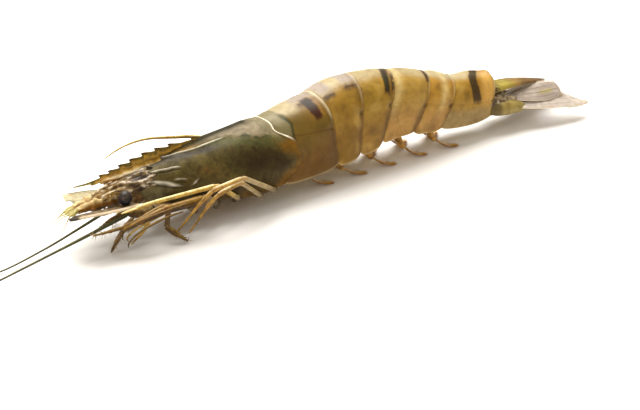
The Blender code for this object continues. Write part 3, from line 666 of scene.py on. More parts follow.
eye_cornea = bpy.data.materials.new("wet_faceted_cornea")
eye_cornea.use_nodes = True
tree = eye_cornea.node_tree
tree.nodes.clear()
place = add_node(tree, "ShaderNodeTexCoord").outputs["Object"]
tint = add_node(tree, "ShaderNodeVertexColor", {"layer_name": "tint"}).outputs["Color"]
# The real facets are 0.05 mm, too fine to show, so they are drawn at 0.3 mm.
facets = add_node(tree, "ShaderNodeTexVoronoi", {"Scale": 1.0 / (0.3 * MM)}, {"Vector": place})
dents = add_node(tree, "ShaderNodeBump", {"Strength": 0.25, "Distance": 0.05 * MM},
                 {"Height": facets.outputs["Distance"]})
surface = add_node(tree, "ShaderNodeBsdfPrincipled",
                   {"Roughness": 0.5, "IOR": 1.35, "Coat Weight": 0.08, "Coat Roughness": 0.12,
                    "Sheen Weight": 0.08, "Sheen Roughness": 0.4,
                    "Sheen Tint": (*linear("#5a4a8c"), 1.0)},
                   {"Base Color": tint, "Normal": dents.outputs["Normal"]})
add_node(tree, "ShaderNodeOutputMaterial", (), {"Surface": surface.outputs["BSDF"]})


def make_eye(word, stem, middle):
    stem, middle = leaned(*stem), leaned(*middle)
    line = middle - stem
    first, second = turned(stem, line)
    reach = np.linalg.norm(line) / MM
    neck = 1.75
    start = math.asin(neck / (BALL + 0.05))

    def profile(v):
        turn = start + (math.pi - start) * np.clip((v - 0.35) / 0.65, 0.0, 1.0)
        on_ball = v >= 0.35
        collar = 0.35 * bump_at(v, 0.33, 0.04)
        wide = np.where(on_ball, BALL * np.sin(turn),
                        neck * (0.62 + 0.38 * ease(v, 0.04, 0.3)) * ease(v, 0.0, 0.03))
        along = np.where(on_ball, reach - BALL * np.cos(turn),
                         (reach - BALL * math.cos(start)) * v / 0.35)
        return wide + collar, along

    def surface(u, v):
        wide, along = profile(v)
        turn = 2.0 * math.pi * u
        ring = np.cos(turn)[:, None] * first + np.sin(turn)[:, None] * second
        ring = ring * (wide * (1.0 + 0.06 * np.cos(2.0 * turn)))[:, None] * MM
        return stem + ring + along[:, None] * (line / reach)

    def paint(u, v, points):
        fine = uneven(points, 1.2, 31.0)
        colours = np.repeat(linear("#0c080c")[None, :], len(u), axis=0)
        colours = mixed(colours, "#2c2430", 0.5 * bump_at(v, 0.86, 0.1))
        lid = ease((points - middle)[:, 2] / (BALL * MM) + 0.2 * fine, 0.1, 0.35)
        colours = mixed(colours, "#2c2218", 0.95 * lid)
        colours = mixed(colours, "#54463a", 0.5 * lid * ease(fine, 0.0, 0.3))
        stalk = ease(v + 0.03 * fine, 0.50, 0.36)
        colours = mixed(colours, "#6d624a", stalk)
        return mixed(colours, "#34281c", stalk * ease(fine, 0.0, 0.4) * 0.8)

    eye = lay_over(f"stalked_eye_{word}", 36, 48, surface, paint, closed=True)
    finish_piece(eye, eye_cornea, "eye_cornea", f"eye_{word}")


for word, (stem, middle) in EYES.items():
    make_eye(word, stem, middle)


# --- Head in front of the carapace: the block that carries the eyes and feelers, and the
# crumpled skin folds that the rostrum lies over.

limb_chitin = shell_material("half_clear_limb_chitin", "#98783c", 2.2, 0.6, 0.35, 0.35, 0.34,
                             0.14)


def rod(name, joints, paint, around=12, along=24, swell=None, flat=1.0, up=(0.0, 0.0, 1.0),
        lumps=0.0):
    """A round rod through joints over the ground: x, y, z and a radius at each, in mm.

    Its paint is given how far each side faces up, from -1 to 1, in place of u.
    """
    run = smooth_run(joints, 8) if 2 < len(joints) < 10 else np.array(joints, dtype=float)
    steps = np.r_[0.0, np.cumsum(np.linalg.norm(np.diff(run[:, :3], axis=0), axis=1))]
    steps /= steps[-1]
    shares = np.linspace(0.0, 1.0, 4 * along)

    def centre(v):
        return np.stack([np.interp(v, steps, run[:, k]) for k in range(3)], axis=-1)

    lines = centre(np.clip(shares + 0.01, 0, 1)) - centre(np.clip(shares - 0.01, 0, 1))
    lines /= np.linalg.norm(lines, axis=1, keepdims=True)
    sides, side = [], np.asarray(up, dtype=float)
    for line in lines:
        side = side - line * (line @ side)
        side = side / np.linalg.norm(side)
        sides.append(side)
    sides = np.array(sides)

    def frame_at(v):
        line = np.stack([np.interp(v, shares, lines[:, k]) for k in range(3)], axis=-1)
        first = np.stack([np.interp(v, shares, sides[:, k]) for k in range(3)], axis=-1)
        first -= line * np.sum(first * line, axis=1, keepdims=True)
        first /= np.linalg.norm(first, axis=1, keepdims=True)
        return first, np.cross(line / np.linalg.norm(line, axis=1, keepdims=True), first)

    def way(u, v):
        first, second = frame_at(v)
        turn = 2.0 * math.pi * u
        return np.cos(turn)[:, None] * first + flat * np.sin(turn)[:, None] * second

    def surface(u, v):
        wide = np.interp(v, steps, run[:, 3])
        wide = wide * (swell(v) if swell else 1.0) * np.sqrt(
            np.clip(np.minimum(v, 1.0 - v) / 0.02, 0.0, 1.0))
        place = centre(v) + way(u, v) * wide[:, None]
        if lumps:
            place += way(u, v) * (wide * lumps * uneven(place * MM, 1.6, 3.0))[:, None]
        return over_ground(place[:, 0], place[:, 1], place[:, 2])

    def painted(u, v, points):
        return paint(way(u, v)[:, 2], v, points)

    return lay_over(name, around, along, surface, painted, closed=True)


def joined(name, parts):
    """Several meshes as one piece."""
    bpy.ops.object.select_all(action="DESELECT")
    for part in parts:
        part.select_set(True)
    bpy.context.view_layer.objects.active = parts[0]
    if len(parts) > 1:
        bpy.ops.object.join()
    parts[0].name = parts[0].data.name = name
    return parts[0]


def bristles(name, roots, ways, lengths, thick, colours):
    """Many fine hairs as one mesh: each is a three-sided spike of the same shape."""
    bpy.ops.object.select_all(action="DESELECT")
    bpy.ops.mesh.primitive_cone_add(vertices=3, radius1=1.0, radius2=0.0, depth=1.0,
                                    location=(0.0, 0.0, 0.0))
    spike = bpy.context.active_object
    shape = np.array([vert.co for vert in spike.data.vertices])
    faces = [list(face.vertices) for face in spike.data.polygons]
    bpy.data.objects.remove(spike, do_unlink=True)
    ways = ways / np.linalg.norm(ways, axis=1, keepdims=True)
    aside = np.cross(ways, np.array((0.31, 0.12, 0.94)))
    aside /= np.linalg.norm(aside, axis=1, keepdims=True)
    third = np.cross(ways, aside)
    along = shape[:, 2] + 0.5
    points = (roots[:, None, :]
              + aside[:, None, :] * (shape[None, :, 0, None] * thick * MM)
              + third[:, None, :] * (shape[None, :, 1, None] * thick * MM)
              + ways[:, None, :] * (along[None, :, None] * lengths[:, None, None] * MM))
    count = len(shape)
    mesh = bpy.data.meshes.new(name)
    mesh.from_pydata(points.reshape(-1, 3).tolist(), [],
                     [[k * count + v for v in face] for k in range(len(roots)) for face in faces])
    tint = mesh.color_attributes.new("tint", "FLOAT_COLOR", "POINT")
    painted = np.ones((len(roots) * count, 4))
    painted[:, :3] = np.repeat(colours, count, axis=0)
    tint.data.foreach_set("color", painted.ravel())
    piece = bpy.data.objects.new(name, mesh)
    bpy.context.scene.collection.objects.link(piece)
    return piece


def head_surface(u, v):
    x = -48.0 - 14.2 * v
    half = 4.6 * np.sqrt(np.clip(1.0 - ((v - 0.35) / 0.66) ** 2, 0.0, 1.0))
    turn = 2.0 * math.pi * u
    fold = 1.0 + 0.10 * np.sin(9.0 * turn + 14.0 * v) * np.sin(math.pi * v)
    return leaned(x, -half * fold * np.sin(turn), 15.0 + 0.92 * half * fold * np.cos(turn))


def head_paint(u, v, points):
    fine = uneven(points, 1.5, 41.0)
    colours = np.repeat(linear("#86683c")[None, :], len(u), axis=0)
    colours = mixed(colours, "#3a2820", 0.8 * ease(fine, 0.05, 0.35))
    return mixed(colours, "#cdbb9c", 0.7 * ease(fine, -0.15, -0.45))


head = lay_over("eye_and_feeler_block", 40, 40, head_surface, head_paint, closed=True)
finish_piece(head, limb_chitin, "carapace_shell", "head")

# The crumpled skin under the rostrum, along the body: x, how high its middle is, its
# half-width, and its height above and below the middle.
SKIN = [(-39.0, 18.4, 6.2, 4.8, 3.0), (-44.0, 18.4, 6.8, 5.2, 3.4), (-50.0, 18.2, 6.2, 4.9, 3.6),
        (-56.0, 17.8, 5.2, 4.2, 3.4), (-62.0, 17.2, 4.2, 3.2, 2.8), (-66.5, 16.8, 3.0, 2.0, 2.0),
        (-70.0, 16.6, 1.6, 1.2, 1.2)]
SKIN_RUN = smooth_run(SKIN, 8)


def crumple(points, seed=0.0):
    """Sharp folds along the head, about 1 mm across and 5 mm long, from -1 to 1."""
    turned_to = points * np.array((0.25, 1.0, 1.0)) / (2.1 * MM)
    broad = np.array([noise.noise(Vector(p) + Vector((seed, 0.0, 0.0))) for p in turned_to])
    close = np.array([noise.noise(Vector(p) * 2.3 + Vector((7.0, seed, 0.0))) for p in turned_to])
    return 1.0 - 2.6 * np.abs(broad) + 0.35 * (1.0 - 3.0 * np.abs(close))


def skin_surface(u, v):
    x = -39.0 - 31.0 * v
    h, half, above, below = (np.interp(-x, -SKIN_RUN[:, 0], SKIN_RUN[:, k])
                             for k in range(1, 5))
    turn = 2.0 * math.pi * u
    pinch = np.sqrt(np.clip(np.minimum(v, 1.0 - v) / 0.04, 0.0, 1.0))
    tall = np.where(np.cos(turn) > 0.0, above, below)
    plain = leaned(x, -half * pinch * np.sin(turn), h + tall * pinch * np.cos(turn))
    out = 0.6 * crumple(plain) * pinch * ease(np.cos(turn), -0.6, 0.0)
    return leaned(x - 0.6 * out, -(half + out) * pinch * np.sin(turn),
                  h + (tall + out) * pinch * np.cos(turn))


def skin_paint(u, v, points):
    fine = uneven(points, 1.6, 53.0)
    height = crumple(points)
    colours = np.repeat(linear("#776444")[None, :], len(u), axis=0)
    colours = mixed(colours, "#9c7a3c", 0.85 * ease(v + 0.1 * fine, 0.5, 0.8))
    # Painted shade: purple-brown blotches towards the rear under the rostrum, and near black in the valleys
    # between the folds. Painted highlight: cream on the folds' tops.
    colours = mixed(colours, "#4c3c3a", 0.75 * ease(fine, -0.2, 0.3) * ease(v, 0.7, 0.4))
    colours = mixed(colours, "#2a1d17", 0.95 * ease(height, 0.4, -0.2))
    return mixed(colours, "#ecdfc6", 0.9 * ease(height, 0.65, 1.0) * ease(fine, -0.4, 0.1))


skin = lay_over("skin_folds", 120, 170, skin_surface, skin_paint, closed=True)
finish_piece(skin, limb_chitin, "carapace_shell")


# --- Feelers: two small three-jointed antennules with short whips, two long antennae on
# stout jointed bases, and over each base a broad, thin, half clear scale.

antenna_chitin = shell_material("antenna_whip_chitin", "#4a4630", 2.0, 0.5, 0.3, 0.3, 0.3, 0.0)
scale_chitin = shell_material("clear_scale_chitin", "#b8a878", 3.0, 0.4, 0.25, 0.4, 0.36, 0.4,
                              0.1)


def joint_paint(light, main, dark, seed, joints=(), shaded=0.0):
    """A limb's colours: pale on top as painted highlight, brown below as painted shade, brown at its
    joints, blotched between; where shaded is given, painted shade towards its root.
    """
    def paint(top, v, points):
        fine, wide = uneven(points, 1.2, seed), uneven(points, 4.0, seed + 1.0)
        colours = np.repeat(linear(main)[None, :], len(top), axis=0)
        colours = mixed(colours, dark, 0.7 * ease(wide + 0.5 * fine, 0.1, 0.5))
        # Painted highlight on the side that faces up, painted shade on the side that faces down.
        colours = mixed(colours, light, 0.85 * ease(top + 0.25 * fine, 0.35, 0.85))
        colours = mixed(colours, dark, 0.85 * ease(top, 0.0, -0.7))
        for at in joints:
            colours = mixed(colours, "#a86c2c", 0.3 * bump_at(v, at - 0.012, 0.025))
            colours = mixed(colours, "#5a3c18", 0.5 * bump_at(v, at, 0.004))
        # Painted shade near the root, where the limb goes in under the carapace: grey-beige, then dark
        # brown.
        colours = mixed(colours, "#a3936c", 0.75 * ease(v, shaded + 0.06, shaded - 0.06)
                        * (shaded > 0.0))
        return mixed(colours, "#45351f", 0.85 * ease(v, 0.30, 0.16) * (shaded > 0.0))
    return paint


def jointed(name, joints, palette, seed, flat=0.85, corner=1.3, shaded=0.0, lumps=0.0):
    """One limb: straight joints with rounded corners, drawn in a little at each hinge."""
    knots = np.array(joints, dtype=float)
    points = [knots[0]]
    for before, here, after in zip(knots, knots[1:], knots[2:]):
        near, far = before - here, after - here
        near = near * min(0.4, corner / np.linalg.norm(near[:3]))
        far = far * min(0.4, corner / np.linalg.norm(far[:3]))
        points += [here + near * (1.0 - w) ** 2 + far * w ** 2 for w in np.linspace(0, 1, 7)]
    points.append(knots[-1])
    steps = np.linalg.norm(np.diff(knots[:, :3], axis=0), axis=1).cumsum()
    hinges = steps[:-1] / steps[-1]

    def swell(v):
        pinches = sum(0.12 * bump_at(v, at - 1.2 / steps[-1], 1.0 / steps[-1])
                      - 0.16 * bump_at(v, at + 0.3 / steps[-1], 0.45 / steps[-1])
                      for at in hinges)
        return 1.0 + pinches

    if len(points) < 10:
        points = [points[0]] + [points[0] + (points[-1] - points[0]) * k / 12
                                for k in range(1, 13)]
    return rod(name, points, joint_paint(*palette, seed, hinges, shaded), 14,
               max(30, int(steps[-1] / 0.4)), swell, flat, (0.05, 0.02, 1.0), lumps)


def blade(name, spine, ridges, paint, around=64, along=70, cup=0.0, slant=0.0, rounded=0.1):
    """A thin plate along a spine of x, a, h, half-width, thickness and bank in degrees.

    Its end is cut at a slant, in mm: how much further it runs at one edge than the middle.
    The last share of it is rounded off.
    """
    run = smooth_run(spine, 8)
    knots = np.linspace(0.0, 1.0, len(run))

    def at(v, across, lift):
        x, a, h, half, thick, bank = (np.interp(v, knots, run[:, k]) for k in range(6))
        past = np.clip((v - 1.0 + rounded) / rounded, 0.0, 1.0)
        round_end = np.sqrt(np.clip(1.0 - past ** 2, 0.0, 1.0))
        half = half * np.maximum(round_end, 0.02)
        turn = np.radians(bank)
        wide = across * half
        high = lift * thick - cup * (across ** 2) * half
        return leaned(x + slant * across * ease(v, 0.45, 1.0),
                      a + wide * np.cos(turn) - high * np.sin(turn),
                      h + wide * np.sin(turn) + high * np.cos(turn))

    def shares(u):
        across = 1.0 - 4.0 * np.abs(u - 0.5)
        return across, np.where(u > 0.5, 1.0, -1.0)

    def surface(u, v):
        across, side = shares(u)
        body = 0.5 * np.sqrt(np.clip(1.0 - across ** 2, 0.0, 1.0)) ** 0.7
        rib = sum(tall * bump_at(across, where, wide) for where, wide, tall in ridges)
        return at(v, across, side * body + rib * ease(v, 1.0, 0.8) * np.where(side > 0, 1, 0.5))

    def painted(u, v, points):
        across, side = shares(u)
        return paint(across, v, points)

    made = lay_over(name, around, along, surface, painted, closed=True)
    return made, at


def fringe(name, at, low, high, count, length, colour, sides=(-1.0, 1.0), seed=5, sweep=0.9):
    """Fine hairs along a blade's edges, pointing out and back along it."""
    draw = np.random.default_rng(seed)
    roots, ways = [], []
    for side in sides:
        v = np.linspace(low, high, count) + draw.normal(0.0, 0.002, count)
        v = np.clip(v, 0.0, 0.995)
        edge = at(v, np.full(count, side * 0.97), np.zeros(count))
        inner = at(v, np.full(count, side * 0.55), np.zeros(count))
        ahead = at(np.clip(v + 0.02, 0, 1), np.full(count, side * 0.6), np.zeros(count)) - at(
            v - 0.02, np.full(count, side * 0.6), np.zeros(count))
        out = edge - inner
        out /= np.maximum(np.linalg.norm(out, axis=1, keepdims=True), 1e-6)
        ahead /= np.maximum(np.linalg.norm(ahead, axis=1, keepdims=True), 1e-6)
        ways.append(out + sweep * ahead + draw.normal(0.0, 0.10, (count, 3)))
        roots.append(edge)
    roots, ways = np.vstack(roots), np.vstack(ways)
    colours = np.repeat(linear(colour)[None, :], len(roots), axis=0)
    colours = colours * draw.uniform(0.7, 1.15, (len(roots), 1))
    return bristles(name, roots, ways, length * draw.uniform(0.7, 1.1, len(roots)), 0.055, colours)


def scale_paint(main, edge, tip):
    def paint(across, v, points):
        fine = uneven(points, 1.8, 61.0)
        colours = np.repeat(linear(main)[None, :], len(v), axis=0)
        colours = mixed(colours, "#a89a6c", 0.35 * ease(fine, 0.1, 0.5))
        rim = np.maximum(ease(np.abs(across), 0.76, 0.86), ease(v, 0.965, 0.98))
        colours = mixed(colours, edge, 0.85 * rim)
        return mixed(colours, tip, ease(v + 0.02 * fine, 0.82, 0.88) * (0.95 * (tip != edge)))
    return paint


SCALE_LEFT = [(-57.0, -8.6, 13.3, 1.8, 1.1, -3.0), (-63.0, -8.6, 13.6, 3.2, 1.1, -3.0),
              (-70.0, -8.0, 13.9, 3.5, 1.1, -3.0), (-77.0, -7.0, 14.1, 2.9, 1.1, -3.0),
              (-81.6, -6.4, 14.0, 2.2, 1.2, -3.0)]
SCALE_RIGHT = [(-56.5, 8.6, 13.6, 2.0, 0.7, 26.0), (-61.0, 7.6, 14.3, 3.2, 0.7, 36.0),
               (-67.5, 6.7, 15.2, 3.6, 0.6, 42.0), (-72.5, 5.9, 16.2, 3.4, 0.5, 44.0),
               (-76.0, 5.4, 16.9, 3.2, 0.5, 45.0)]
RIDGES = [(-0.78, 0.10, 0.35), (0.0, 0.08, 0.2)]
# The left scale, lying under the stems, is painted dark brown as painted shade, and its thick pale edge is
# partly painted highlight.
for word, spine, ridges, look, slant, rounded in (
        ("left", SCALE_LEFT, RIDGES, ("#57432a", "#dccbb0", "#231a15"), 0.6, 0.14),
        ("right", SCALE_RIGHT, [(0.78, 0.08, 0.35), (0.0, 0.08, 0.2)],
         ("#c6c1a2", "#3c3e26", "#c6c1a2"), -1.6, 0.02)):
    scale, scale_at = blade(f"feeler_scale_{word}", spine, ridges, scale_paint(*look),
                            slant=slant, rounded=rounded)
    hairs = fringe(f"scale_hairs_{word}", scale_at, 0.45, 0.99, 40, 0.6, "#6c6844", seed=3)
    scale = joined(f"feeler_scale_{word}", [scale, hairs])
    finish_piece(scale, scale_chitin, "limb_shell", f"antennal_scale_{word}")

# The stems' palette: the pale colour painted on top as highlight, the main colour, and the dark one for
# blotches and painted shade below.
OCHRE = ("#e0c68c", "#875c18", "#33210a")
for side, word in ((-1.0, "left"), (1.0, "right")):
    line = []
    for x, a, h, radius in ((-59.5, 2.1, 15.5, 2.2), (-66.0, 2.1, 15.5, 2.1),
                            (-72.0, 2.0, 15.4, 1.75), (-77.0, 2.0, 15.1, 1.3)):
        a *= side
        line.append((x, a * math.cos(LEAN) + h * math.sin(LEAN),
                     h * math.cos(LEAN) - a * math.sin(LEAN), radius))
    stem = jointed(f"stem_{word}", line, OCHRE, 71.0 + side, 0.9, 1.0, 0.0, 0.6)
    x, y, z, _ = line[-1]
    parts = [stem]
    for k in (-1.0, 1.0):
        parts.append(rod("whip", [(x + 0.5, y + 0.3 * k, z + 0.1 * k, 0.9),
                                  (x - 1.6, y + 0.5 * side * k, z - 0.6, 0.85),
                                  (x - 3.2, y + 0.7 * side * k, z - 1.2, 0.3),
                                  (x - 5.5, y + side * (0.5 + 1.2 * k), z - 2.6 - k, 0.17),
                                  (x - 9.0, y + side * (1 + 1.6 * k), z - 5.4 - 1.4 * k, 0.07)],
                         joint_paint("#d8cf8c", "#b8a860", "#8a7a40", 5.0), 8, 50))
    # Tufts of hair stand round the end of each stem.
    draw = np.random.default_rng(21)
    roots = np.array([(x + 0.4, y, z)]) + draw.normal(0.0, 0.55, (46, 3))
    ways = np.array([(-1.0, 0.1 * side, 0.05)]) + draw.normal(0.0, 0.5, (46, 3))
    parts.append(bristles("tuft", over_ground(*roots.T), ways, draw.uniform(1.5, 4.0, 46), 0.07,
                          np.repeat(linear("#cfc070")[None, :], 46, axis=0)))
    antennule = joined(f"small_feeler_{word}", parts)
    finish_piece(antennule, limb_chitin, "limb_shell", f"antennule_{word}")

BASES = {
    "left": [(-51.5, -5.6, 11.6, 1.5), (-55.0, -5.9, 11.7, 2.0), (-58.4, -5.9, 12.1, 1.75),
             (-61.2, -6.4, 12.9, 1.1)],
    "right": [(-52.0, 7.4, 8.0, 1.4), (-57.0, 7.4, 8.6, 1.8), (-62.5, 5.0, 9.6, 1.5),
              (-67.6, 2.1, 10.6, 0.9)]}
WHIPS = {
    "left": [(-60.6, -6.4, 12.9, 0.8), (-75.0, -7.2, 10.0, 0.6), (-95.0, -8.1, 6.3, 0.45),
             (-112.0, -8.8, 3.2, 0.36), (-128.0, -9.8, 1.0, 0.28), (-142.0, -9.6, 0.4, 0.16)],
    "right": [(-67.0, 2.1, 10.6, 0.6), (-77.0, 2.1, 7.3, 0.48), (-90.0, 1.8, 3.6, 0.4),
              (-107.0, 0.6, 0.8, 0.32), (-121.0, 2.0, 0.4, 0.26), (-134.0, 6.5, 0.4, 0.16)]}


def whip_paint(top, v, points):
    colours = np.repeat(linear("#3c3e24")[None, :], len(top), axis=0)
    # Painted highlight on the side that faces up.
    colours = mixed(colours, "#7c784c", 0.6 * ease(top, 0.3, 0.9))
    return mixed(colours, "#6e5a34", 0.6 * ease(v, 0.5, 1.0))


for word in ("left", "right"):
    base = jointed(f"antenna_stem_{word}", BASES[word], ("#a08a58", "#6e5830", "#3c2c18"), 81.0,
                   0.9, 1.0, 0.0, 0.2)
    finish_piece(base, limb_chitin, "limb_shell", f"antenna_base_{word}")
    # Rings about 0.8 mm apart run the whole length of the whip.
    whip = rod(f"long_antenna_{word}", WHIPS[word], whip_paint, 10, 420,
               lambda v: 1.0 + 0.10 * np.sin(2.0 * math.pi * 105.0 * v))
    finish_piece(whip, antenna_chitin, "antenna", f"antenna_{word}")


# --- Legs: five pairs of jointed walking legs, the first three with small claws, save the
# right third leg, and a pair of hairy mouth legs before them. Thin, half clear chitin, brown at the joints.

LEGS = {
    "maxilliped_left": [
        (-41.0, -2.6, 7.4, 1.2), (-44.0, -6.6, 11.0, 1.4), (-50.5, -9.4, 13.2, 1.35),
        (-57.0, -10.5, 12.2, 1.05), (-65.4, -10.6, 10.6, 0.8), (-71.8, -10.9, 10.8, 0.65),
        (-77.0, -11.0, 11.0, 0.35)],
    "maxilliped_right": [
        (-41.0, 3.0, 5.8, 1.1), (-48.0, 5.0, 6.8, 1.0), (-56.0, 5.0, 7.4, 0.8),
        (-64.0, 3.6, 6.4, 0.7), (-70.0, 2.6, 4.0, 0.35)],
    "leg_1_left": [
        (-33.0, -3.4, 4.4, 1.4), (-38.0, -7.0, 9.5, 1.25), (-47.5, -9.9, 12.0, 1.3),
        (-48.8, -10.8, 5.8, 1.25), (-43.0, -15.4, 0.6, 0.6)],
    "leg_2_left": [
        (-25.0, -3.6, 4.0, 1.6), (-27.0, -8.4, 8.4, 1.8), (-34.0, -11.4, 12.8, 2.1),
        (-50.4, -12.8, 14.0, 1.7), (-60.4, -12.6, 12.0, 1.2), (-66.4, -11.4, 9.8, 0.95),
        (-69.4, -8.0, 0.6, 0.45)],
    "leg_3_left": [
        (-18.0, -3.6, 4.4, 1.3), (-17.8, -8.0, 8.0, 1.2), (-21.1, -12.6, 10.2, 1.15),
        (-30.0, -14.0, 18.3, 1.1), (-54.7, -13.0, 18.3, 0.9), (-66.8, -12.0, 16.9, 0.45)],
    "leg_4_left": [
        (-9.0, -3.6, 4.0, 1.2), (-7.9, -7.4, 5.9, 1.15), (-11.6, -12.6, 8.4, 1.2),
        (-23.1, -18.6, 19.6, 1.05), (-31.5, -17.6, 16.9, 0.95), (-35.0, -14.5, 10.9, 0.75),
        (-40.2, -10.6, 0.5, 0.3)],
    "leg_5_left": [
        (-2.2, -3.6, 4.0, 1.2), (-2.0, -7.3, 6.3, 1.15), (-6.5, -14.0, 9.8, 1.2),
        (-23.1, -20.3, 22.1, 1.05), (-34.3, -18.7, 19.8, 0.95), (-38.8, -15.0, 12.8, 0.75),
        (-44.6, -8.6, 0.5, 0.3)],
    "leg_1_right": [
        (-33.0, 4.8, 2.8, 1.4), (-38.5, 8.0, 4.4, 1.2), (-46.0, 8.6, 6.2, 1.0),
        (-58.4, 5.0, 0.6, 0.45)],
    "leg_2_right": [
        (-25.0, 5.0, 2.4, 1.5), (-28.0, 10.6, 2.7, 1.2), (-31.5, 15.4, 5.2, 1.1),
        (-41.0, 16.8, 10.4, 1.0), (-51.0, 14.2, 7.2, 0.8), (-60.0, 9.6, 0.6, 0.4)],
    "leg_3_right": [
        (-18.0, 5.0, 2.0, 1.5), (-18.0, 11.6, 1.9, 1.15), (-16.0, 17.8, 6.4, 1.05),
        (-14.8, 19.4, 14.8, 0.95), (-18.0, 17.4, 21.0, 0.8)],
    "leg_4_right": [
        (-11.0, 5.0, 1.9, 1.4), (-11.8, 11.6, 1.4, 1.05), (-16.4, 17.8, 3.4, 1.05),
        (-26.0, 21.2, 9.0, 0.95), (-36.0, 20.6, 7.2, 0.7), (-46.0, 17.6, 0.5, 0.3)],
    "leg_5_right": [
        (-4.0, 5.0, 1.9, 1.4), (-4.6, 11.4, 1.2, 1.0), (-7.6, 17.8, 2.2, 1.0),
        (-14.4, 23.4, 6.4, 0.95), (-24.0, 26.0, 9.4, 0.85), (-33.5, 25.0, 5.6, 0.65),
        (-41.0, 22.0, 0.5, 0.3)],
}
# Leg palettes: the pale colour painted on top as highlight, the main colour, and the dark one for blotches
# and painted shade below.
YELLOW_LEG = ("#f2e0a0", "#bf9c46", "#7c5c20")
ORANGE_LEG = ("#f0dcac", "#b48c3c", "#6a4a1c")
BROWN_LEG = ("#9c7e40", "#5c431a", "#2e1e0c")
TAWNY_LEG = ("#9a7632", "#5a3f14", "#2e1d0a")
LEG_COLOURS = {"maxilliped_left": BROWN_LEG, "maxilliped_right": BROWN_LEG,
               "leg_1_left": BROWN_LEG, "leg_2_left": TAWNY_LEG, "leg_3_left": YELLOW_LEG,
               "leg_4_left": ORANGE_LEG, "leg_5_left": ORANGE_LEG, "leg_1_right": BROWN_LEG,
               "leg_2_right": YELLOW_LEG, "leg_3_right": YELLOW_LEG,
               "leg_4_right": ORANGE_LEG, "leg_5_right": ORANGE_LEG}


# The far third leg's outer joints reach forward in one long arc, seen over the rostrum.
FAR_ARC = [(-18.0, 17.4, 21.0, 0.72), (-24.6, 16.1, 23.6, 0.7), (-30.5, 14.9, 25.4, 0.62),
           (-41.3, 14.2, 28.0, 0.5), (-48.5, 14.3, 28.0, 0.42), (-55.0, 13.8, 26.9, 0.34),
           (-60.8, 12.4, 25.3, 0.16)]


def claw(name, wrist, tip, palette, seed):
    """The last joint of a clawed leg: a palm, and two fingers a little apart."""
    wrist, tip = np.array(wrist, dtype=float), np.array(tip, dtype=float)
    line = tip[:3] - wrist[:3]
    aside = np.cross(line, (0.0, 0.3, 1.0))
    aside /= np.linalg.norm(aside)
    radius = 0.8 * wrist[3]
    fork = wrist[:3] + 0.52 * line
    parts = [rod(name, [(*(wrist[:3] - 0.05 * line), 0.9 * radius),
                        (*(wrist[:3] + 0.3 * line), 1.15 * radius),
                        (*(fork + 0.04 * line), 1.0 * radius)], joint_paint(*palette, seed), 14, 24)]
    for side in (-1.0, 1.0):
        root = fork - 0.05 * line + side * 0.45 * radius * aside
        bow = fork + 0.24 * line + side * 0.85 * radius * aside
        parts.append(rod(name, [(*root, 0.6 * radius), (*bow, 0.45 * radius),
                                (*(tip[:3] + side * 0.12 * aside), 0.12)],
                         joint_paint(*palette, seed + side), 10, 22))
    return parts


def hairs_along(joints, start, count, length, seed):
    """Stiff hairs that stand out all round a limb from a share of its length onwards."""
    draw = np.random.default_rng(seed)
    run = np.array(joints, dtype=float)
    steps = np.r_[0.0, np.cumsum(np.linalg.norm(np.diff(run[:, :3], axis=0), axis=1))]
    places = draw.uniform(start, 1.0, count) * steps[-1]
    at = np.stack([np.interp(places, steps, run[:, k]) for k in range(3)], axis=-1)
    on = np.stack([np.interp(places + 1.0, steps, run[:, k]) for k in range(3)], axis=-1)
    ways = (on - at) + draw.normal(0.0, 0.55, (count, 3))
    ways /= np.linalg.norm(ways, axis=1, keepdims=True)
    lengths = length * draw.uniform(0.5, 1.1, count)
    colours = linear("#c8a468") * draw.uniform(0.25, 1.1, (count, 1))
    clear = at[:, 2] + lengths * ways[:, 2] > 0.15          # none goes into the ground
    return bristles("hairs", over_ground(*at[clear].T), ways[clear], lengths[clear], 0.11,
                    colours[clear])


